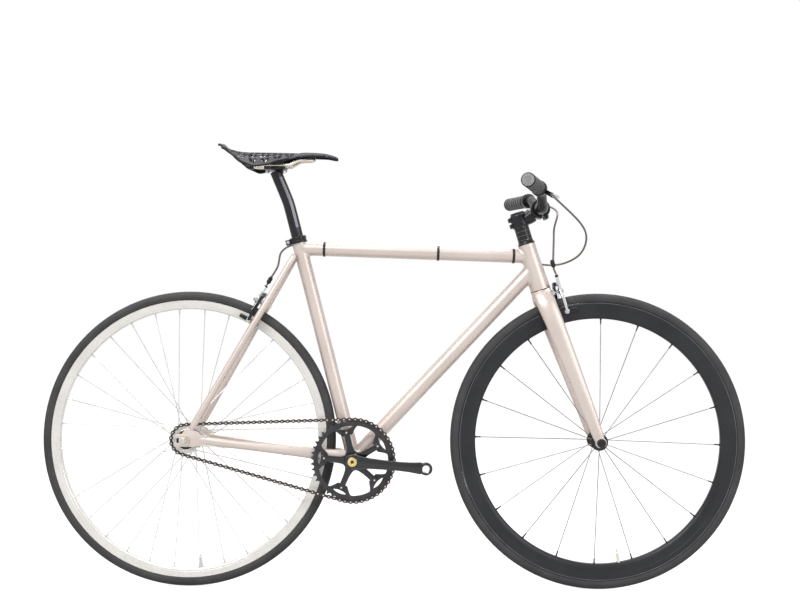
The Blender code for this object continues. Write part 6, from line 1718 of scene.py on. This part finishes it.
def make_rails():
    skin = Skin()
    tube(skin, smooth_path(rail_points(RIGHT) + rail_points(LEFT)[::-1], 5), 0.0035, PALE_RAIL, 16)
    settle(skin, "seat", "pale_rail", "saddle_rails", crease=50)


make_collar()
make_seatpost()
make_saddle()
make_rails()


# Brakes: places have X out of the caliper, Y across the wheel and Z up

PIVOT = (0.02, 0.002)
REACH = 0.049
PAD_GAP = 0.0021
PAD_THICKNESS = 0.0085
RIM_HALVES = {"front": 0.0123, "rear": 0.0098}


def caliper_frames():
    front = Matrix((STEER_FORWARD, Y, STEER_UP)).transposed().to_4x4()
    front.translation = steer(0.352, 0.0232 + GAP)
    rear = Matrix((STAY_BACK, -Y, STAY_UP)).transposed().to_4x4()
    rear.translation = bridge_centre() + STAY_BACK * (BRIDGE_RADIUS + GAP)
    return {"front": front, "rear": rear}


def caliper_bolt(end, place, body):
    skin = Skin()
    blade(skin, [(-0.006, -0.0005), (0, 0), (0.01, 0.0015), (0.02, 0.002), (0.0245, 0.0022)],
          (0.004, 0.0075, 0.0066, 0.0065, 0.0035), 0.0044, place @ frame_at(X * 0.00225, X, Y),
          SILVER, 0.0005, 1, 4)
    out = place.to_3x3() @ X
    lathe(skin, [(0, 0), (0.008, 0), (0.008, 0.0052), (0, 0.0055)],
          frame_at(place.translation, out, Z), SILVER, 32, bevel=0.0005)
    tube(skin, [at(place, 0.004, 0, 0), at(place, 0.0262, 0, 0)], 0.0029, SILVER, 16)
    hexagon(skin, at(place, 0.0222, 0, 0), out, 0.0095, 0.004, SILVER)
    tube(skin, [at(place, 0.002, *PIVOT), at(place, 0.0125, *PIVOT)], 0.0029, SILVER, 16)
    bolt(skin, at(place, 0.0124, *PIVOT), out, 0.0046, 0.002, SILVER)
    spring = [at(place, 0.014, y, z) for y, z in ((0.006, 0.004), (0.012, -0.006),
                                                  (0.021, -0.018), (0.0235, -0.026))]
    tube(skin, smooth_path(spring, 4), 0.0007, SILVER, 8)
    settle(skin, body, "silver", f"{end}_caliper_bolt", crease=42)


def caliper_arm(end, place, arm):
    """Arm with its shoe; the cable arm turns on the centre bolt, the far arm on the pivot."""
    skin = Skin()
    if arm == "cable":
        side, low, pivot, finish = -1, 0.015, (0, 0), SILVER
        path = [(-0.024, 0.033), (-0.02, 0.018), (-0.013, 0.002), (-0.023, -0.013),
                (-0.0265, -0.03), (-0.024, -REACH)]
        widths = (0.0045, 0.005, 0.0085, 0.0055, 0.0045, 0.0045)
    else:
        side, low, pivot, finish = 1, 0.0055, PIVOT, BLACK_METAL
        path = [(-0.024, 0.017), (-0.008, 0.0175), (0.013, 0.011), (0.024, -0.005),
                (0.027, -0.026), (0.0245, -REACH)]
        widths = (0.0045, 0.005, 0.0065, 0.0065, 0.005, 0.0045)
    blade(skin, path, widths, 0.0063, place @ frame_at(X * (low + 0.00325), X, Y), finish, 0.0011)
    out, wide, up = (place.to_3x3() @ axis for axis in (X, Y, Z))
    lathe(skin, square(0.0034, 0.0068, -0.0002, 0.0066), frame_at(at(place, low, *pivot), out, Z),
          SILVER, 32, closed=True, bevel=0.0006)
    pad_y = side * (RIM_HALVES[end] + PAD_GAP + PAD_THICKNESS / 2)
    shoe = at(place, low + 0.004, pad_y, -REACH)
    for inner, high, thick, finish, length in (
            (side * -0.0022, 0.0092, 0.0038, PAD, 0.0474),
            (side * 0.0012, 0.0084, 0.0036, BLACK_METAL, 0.045)):
        points, pairs = [], []
        for share in (-1, -0.94, -0.5, 0, 0.5, 0.94, 1):
            grow = 0.72 if abs(share) == 1 else 1
            points.append(shoe + out * (length / 2 * share) + wide * inner)
            pairs.append((high / 2 * grow, thick / 2 * grow))
        tube(skin, points, pairs, finish, 16, up)
    lathe(skin, [(0, 0), (0.006, 0), (0.006, 0.0012), (0.0045, 0.0022), (0, 0.0022)],
          frame_at(at(place, low + 0.00325, side * (abs(pad_y) + 0.0022), -REACH), wide * side,
                   Z), SILVER, 24, bevel=0.0004)
    if arm == "cable":
        lathe(skin, [(0.0026, 0), (0.0042, 0), (0.0042, 0.0026), (0.0034, 0.0034),
                     (0.0034, 0.0048), (0.0026, 0.0048)],
              frame_at(at(place, low + 0.0033, *path[0]), up, X), BLACK_METAL, 20, closed=True,
              bevel=0.0003)
    else:
        hexagon(skin, at(place, low + 0.0064, *path[0]), out, 0.008, 0.003, SILVER)
    settle(skin, f"{end}_arm_{arm}", "silver", f"{end}_brake_arm_{arm}", crease=42)


FRAMES = caliper_frames()
for end, place in FRAMES.items():
    caliper_bolt(end, place, "steering" if end == "front" else "frame")
    caliper_arm(end, place, "cable")
    caliper_arm(end, place, "far")


# Levers

def lever_frame(side):
    inner, outer = grip_line(side)
    along = (outer - inner).normalized()
    forward = Vector((cos(radians(28)), 0, -sin(radians(28))))
    return frame_at(inner - along * 0.012, along, forward)


def make_lever(side):
    word = SIDE_NAMES[side]
    place = lever_frame(side)
    skin = Skin()
    lathe(skin, [(0.0115, -0.0062), (0.017, -0.0062), (0.0176, -0.0048), (0.0176, 0.0048),
                 (0.017, 0.0062), (0.0115, 0.0062)], place, BLACK_METAL, 40, closed=True,
          bevel=0.0005)
    for offset in (-0.0038, 0.0038):
        brick(skin, (0.024, 0.002, 0.0215), place @ shifted(0.024, offset * 0.95, -0.0035),
              BLACK_METAL, 0.0009)
    brick(skin, (0.013, 0.0086, 0.012), place @ shifted(0.019, 0, -0.008), BLACK_METAL, 0.0015)
    away = place.to_3x3() @ Vector((0, 0, -1))
    lathe(skin, [(0, 0), (0.0045, 0), (0.0047, 0.006), (0.004, 0.007), (0.0046, 0.0085),
                 (0.0046, 0.015), (0.0036, 0.017), (0.0032, 0.0188), (0, 0.0189)],
          frame_at(at(place, 0.027, 0, -0.01), away, Z), SILVER, 24, bevel=0.0003)
    across = place.to_3x3() @ Y
    for sign in (-1, 1):
        bolt(skin, at(place, 0.03, sign * 0.004, 0), across * sign, 0.0034, 0.0005, SILVER)
    bolt(skin, at(place, -0.012, -0.0105, 0), -across, 0.0036, 0.0035, SILVER)
    settle(skin, "steering", "black_metal", f"lever_bracket_{word}", crease=42)

    skin = Skin()
    flat = place @ Matrix(((1, 0, 0, 0), (0, 0, -1, 0), (0, 1, 0, 0), (0, 0, 0, 1)))
    length = 0.095
    path = [(0.029, -0.003), (0.036, 0.012), (0.05, length * 0.32), (0.056, length * 0.6),
            (0.054, length * 0.84), (0.059, length)]
    blade(skin, path, (0.0043, 0.005, 0.0055, 0.0052, 0.0058, 0.0043), 0.0043, flat, SILVER, 0.0014)
    settle(skin, f"lever_{word}", "silver", f"brake_lever_{word}", crease=42)


for side in (RIGHT, LEFT):
    make_lever(side)


# Cables

CABLE_RADIUS = 0.0023
LOOP_REACH = 0.1313
LOOP_SIDE = 0.04
HOOK = (0.0183, -0.024)
LEVER_EXIT = (0.027, 0, -0.0299)
ALONG_TUBE = (0.06, 0.12, 0.3, 0.52, 0.75, 0.94)


def top_side(share):
    """Point of the rear cable beside the top tube."""
    point = TOP_REAR.lerp(TOP_FRONT, share)
    point.y = TOP_TUBE_RADIUS + CABLE_RADIUS + GAP
    return point


def route_point(rise, forward, side):
    """Point beside the head tube, in shares of its height and of the loop's reach."""
    return steer(HEAD_BOTTOM + rise * HEAD_LENGTH, forward * LOOP_REACH, side * LOOP_SIDE)


def barrel(skin, place, height):
    """In-line barrel adjuster on a cable above a caliper."""
    lathe(skin, [(0.0024, -0.009), (0.0034, -0.009), (0.004, -0.0074), (0.0053, -0.0058),
                 (0.0053, -0.002), (0.0048, -0.0012), (0.0048, 0.0004), (0.0053, 0.0012),
                 (0.0053, 0.0048), (0.0038, 0.0064), (0.0033, 0.009), (0.0024, 0.009)],
          frame_at(at(place, *HOOK, height), place.to_3x3() @ Z, Y), PLASTIC, 16, bevel=0.0004)


def make_rear_cable():
    place = FRAMES["rear"]
    hook, lead, above = (at(place, *HOOK, height) for height in (0.0385, 0.06, 0.09))
    behind = seat(TOP_TUBE_REAR + 0.014, SEAT_TUBE_RADIUS + 0.006, SEAT_TUBE_RADIUS + 0.003)
    beside = seat(TOP_TUBE_REAR + 0.006, 0.004, SEAT_TUBE_RADIUS + 0.0065)
    bend = (above + behind) / 2 + Vector((-0.0075, 0.002, 0.0075))
    first, *run = (top_side(share) for share in ALONG_TUBE)
    path = smooth_path([hook, lead, above, bend, behind, beside, first], 10) + run
    skin = Skin()
    tube(skin, path, CABLE_RADIUS, HOUSING, 12)
    barrel(skin, place, 0.0526)
    settle(skin, "frame", "housing", "rear_brake_cable", crease=50)


def make_rear_loop():
    before, start = (top_side(share) for share in ALONG_TUBE[-2:])
    along = (start - before).normalized()
    lever = lever_frame(RIGHT)
    lever_end = at(lever, *LEVER_EXIT)
    points = [start + along * 0.0009, start + along * 0.022 + Vector((0, 0.006, -0.001)),
              route_point(0.543, 0.122, 0.775), route_point(0.4, 0.484, 0.5),
              route_point(0.467, 0.82, 0), route_point(0.737, 1, -0.5),
              route_point(1.088, 0.962, -1), at(lever, 0.0285, 0, -0.06), lever_end]
    skin = Skin()
    tube(skin, smooth_path(points, 10), CABLE_RADIUS, HOUSING, 12)
    settle(skin, "frame", "housing", "rear_brake_loop", crease=50,
           bend=("steering", start.lerp(lever_end, 0.08), start.lerp(lever_end, 0.85)))


def make_front_cable():
    place = FRAMES["front"]
    lever = lever_frame(LEFT)
    points = [at(place, *HOOK, 0.0385), at(place, *HOOK, 0.06), route_point(0.894, 0.45, -0.5),
              route_point(1.152, 0.534, -0.2), route_point(1.477, 0.696, 0.5),
              at(lever, 0.0285, 0, -0.056), at(lever, *LEVER_EXIT)]
    skin = Skin()
    tube(skin, smooth_path(points, 10), CABLE_RADIUS, HOUSING, 12)
    barrel(skin, place, 0.064)
    settle(skin, "steering", "housing", "front_brake_cable", crease=50)


def make_clip(word, share):
    centre = top_side(share)
    axis = centre.copy()
    axis.y = 0
    along = (TOP_FRONT - TOP_REAR).normalized()
    skin = Skin()
    for place, inner, outer, steps in ((axis, 0.01575, 0.0168, 48), (centre, 0.0026, 0.0038, 24)):
        lathe(skin, square(inner, outer, -0.0028, 0.0028), frame_at(place, along, Y), PLASTIC,
              steps, closed=True, bevel=0.0003)
    settle(skin, "frame", "black_plastic", f"cable_clip_{word}")


make_rear_cable()
make_rear_loop()
make_front_cable()
for word, share in (("rear", 0.105), ("middle", 0.6), ("front", 0.927)):
    make_clip(word, share)


# Quick release

def make_quick_release():
    centre = FRONT_AXLE + (FORK_TIP_FACE + 0.0006 + 0.012 + 0.0075) * Y
    skin = Skin()
    lathe(skin, square(0, 0.0072, -0.0064, 0.0064), frame_at(centre, STEER_FORWARD, Y),
          BLACK_METAL, 32, bevel=0.0008)
    blade(skin, [(0, -0.002), (0, 0.02), (0.002, 0.045), (0.003, 0.06)],
          (0.006, 0.005, 0.0058, 0.004), 0.0044, frame_at(centre + 0.001 * Y, -Y, STEER_FORWARD),
          SILVER, 0.0012)
    settle(skin, "quick_release", "silver", "quick_release_lever", name="quick_release_skin",
           crease=42)


make_quick_release()

# Nodes that keep their own shape
for name in ("headset_bearing_upper", "headset_bearing_lower", "bottom_bracket_spindle"):
    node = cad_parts[name]
    if not node.material_slots:
        node.data.materials.append(SILVER)
    for socket in node.material_slots:
        socket.link = "OBJECT"
        socket.material = SILVER


# Floor, light and camera

def seen_directly(tree, *rays):
    """1 for what the camera or a reflection sees, 0 for the light that falls on things."""
    path = add_node(tree, "ShaderNodeLightPath").outputs
    seen = path["Is Camera Ray"]
    for ray in rays:
        seen = calc(tree, "MAXIMUM", seen, path[ray])
    return seen


def make_floor(glow=0.84):
    mesh = bpy.data.meshes.new("floor")
    mesh.from_pydata([(-14, -9, 0), (14, -9, 0), (14, 16, 0), (-14, 16, 0)], [], [(0, 1, 2, 3)])
    floor = linked("floor", mesh)
    material, tree, shader = start_material("floor", 0)
    feed(tree, shader.inputs["Roughness"], 0.7)
    feed(tree, shader.inputs["Base Color"], ramp(
        tree, noise(tree, 3), (0.3, (0.3, 0.3, 0.295)), (0.7, (0.34, 0.34, 0.335))))
    light = add_node(tree, "ShaderNodeEmission", {
        "Color": (1, 1, 1),
        "Strength": calc(tree, "MULTIPLY", seen_directly(tree, "Is Glossy Ray"), glow)})
    both = add_node(tree, "ShaderNodeAddShader", {0: shader.outputs[0], 1: light.outputs[0]})
    feed(tree, tree.nodes["Material Output"].inputs["Surface"], both.outputs[0])
    floor.data.materials.append(material)


def make_world(light=0.34, seen=0.66):
    """White room: its light on things, and how much more of it is seen."""
    world = bpy.data.worlds.new("studio")
    bpy.context.scene.world = world
    world.use_nodes = True
    tree = world.node_tree
    direct = seen_directly(tree, "Is Glossy Ray", "Is Transmission Ray")
    background = tree.nodes["Background"]
    feed(tree, background.inputs["Color"], (1, 1, 1))
    feed(tree, background.inputs["Strength"],
         calc(tree, "ADD", calc(tree, "MULTIPLY", direct, seen), light))


def make_lamp(name, place, aim, size, power):
    lamp = bpy.data.lights.new(name, "AREA")
    lamp.shape = "RECTANGLE"
    lamp.size, lamp.size_y = size
    lamp.energy = power
    item = linked(name, lamp)
    item.location = place
    item.rotation_euler = (Vector(aim) - Vector(place)).to_track_quat("-Z", "Y").to_euler()


def make_camera(yaw=0.01399, pitch=0.02582, roll=-0.00553, lens=55.19):
    """Camera at the photograph's place, heading, pitch and roll."""
    data = bpy.data.cameras.new("camera")
    data.sensor_width = 36
    data.lens = lens
    data.clip_end = 60
    item = linked("camera", data)
    turn = (Matrix.Rotation(yaw, 3, "Z") @ Matrix.Rotation(pitch, 3, "X")
            @ Matrix.Rotation(roll, 3, "Y"))
    right, forward, up = turn.col
    matrix = Matrix((right, up, -forward)).transposed().to_4x4()
    matrix.translation = Vector((0.05359, -2.81222, 0.58247))
    item.matrix_world = matrix
    bpy.context.scene.camera = item


make_floor()
make_world()
make_lamp("key", (-1.6, -2.6, 3.4), (0, 0, 0.5), (2.4, 1.6), 118)
make_lamp("fill", (2.6, -2.2, 1.8), (0.1, 0, 0.5), (1.8, 1.8), 38)
make_lamp("top", (0, 0.6, 3.2), (0, 0, 0.4), (3, 1.4), 75)
make_camera()
bpy.context.scene.view_settings.view_transform = "Standard"
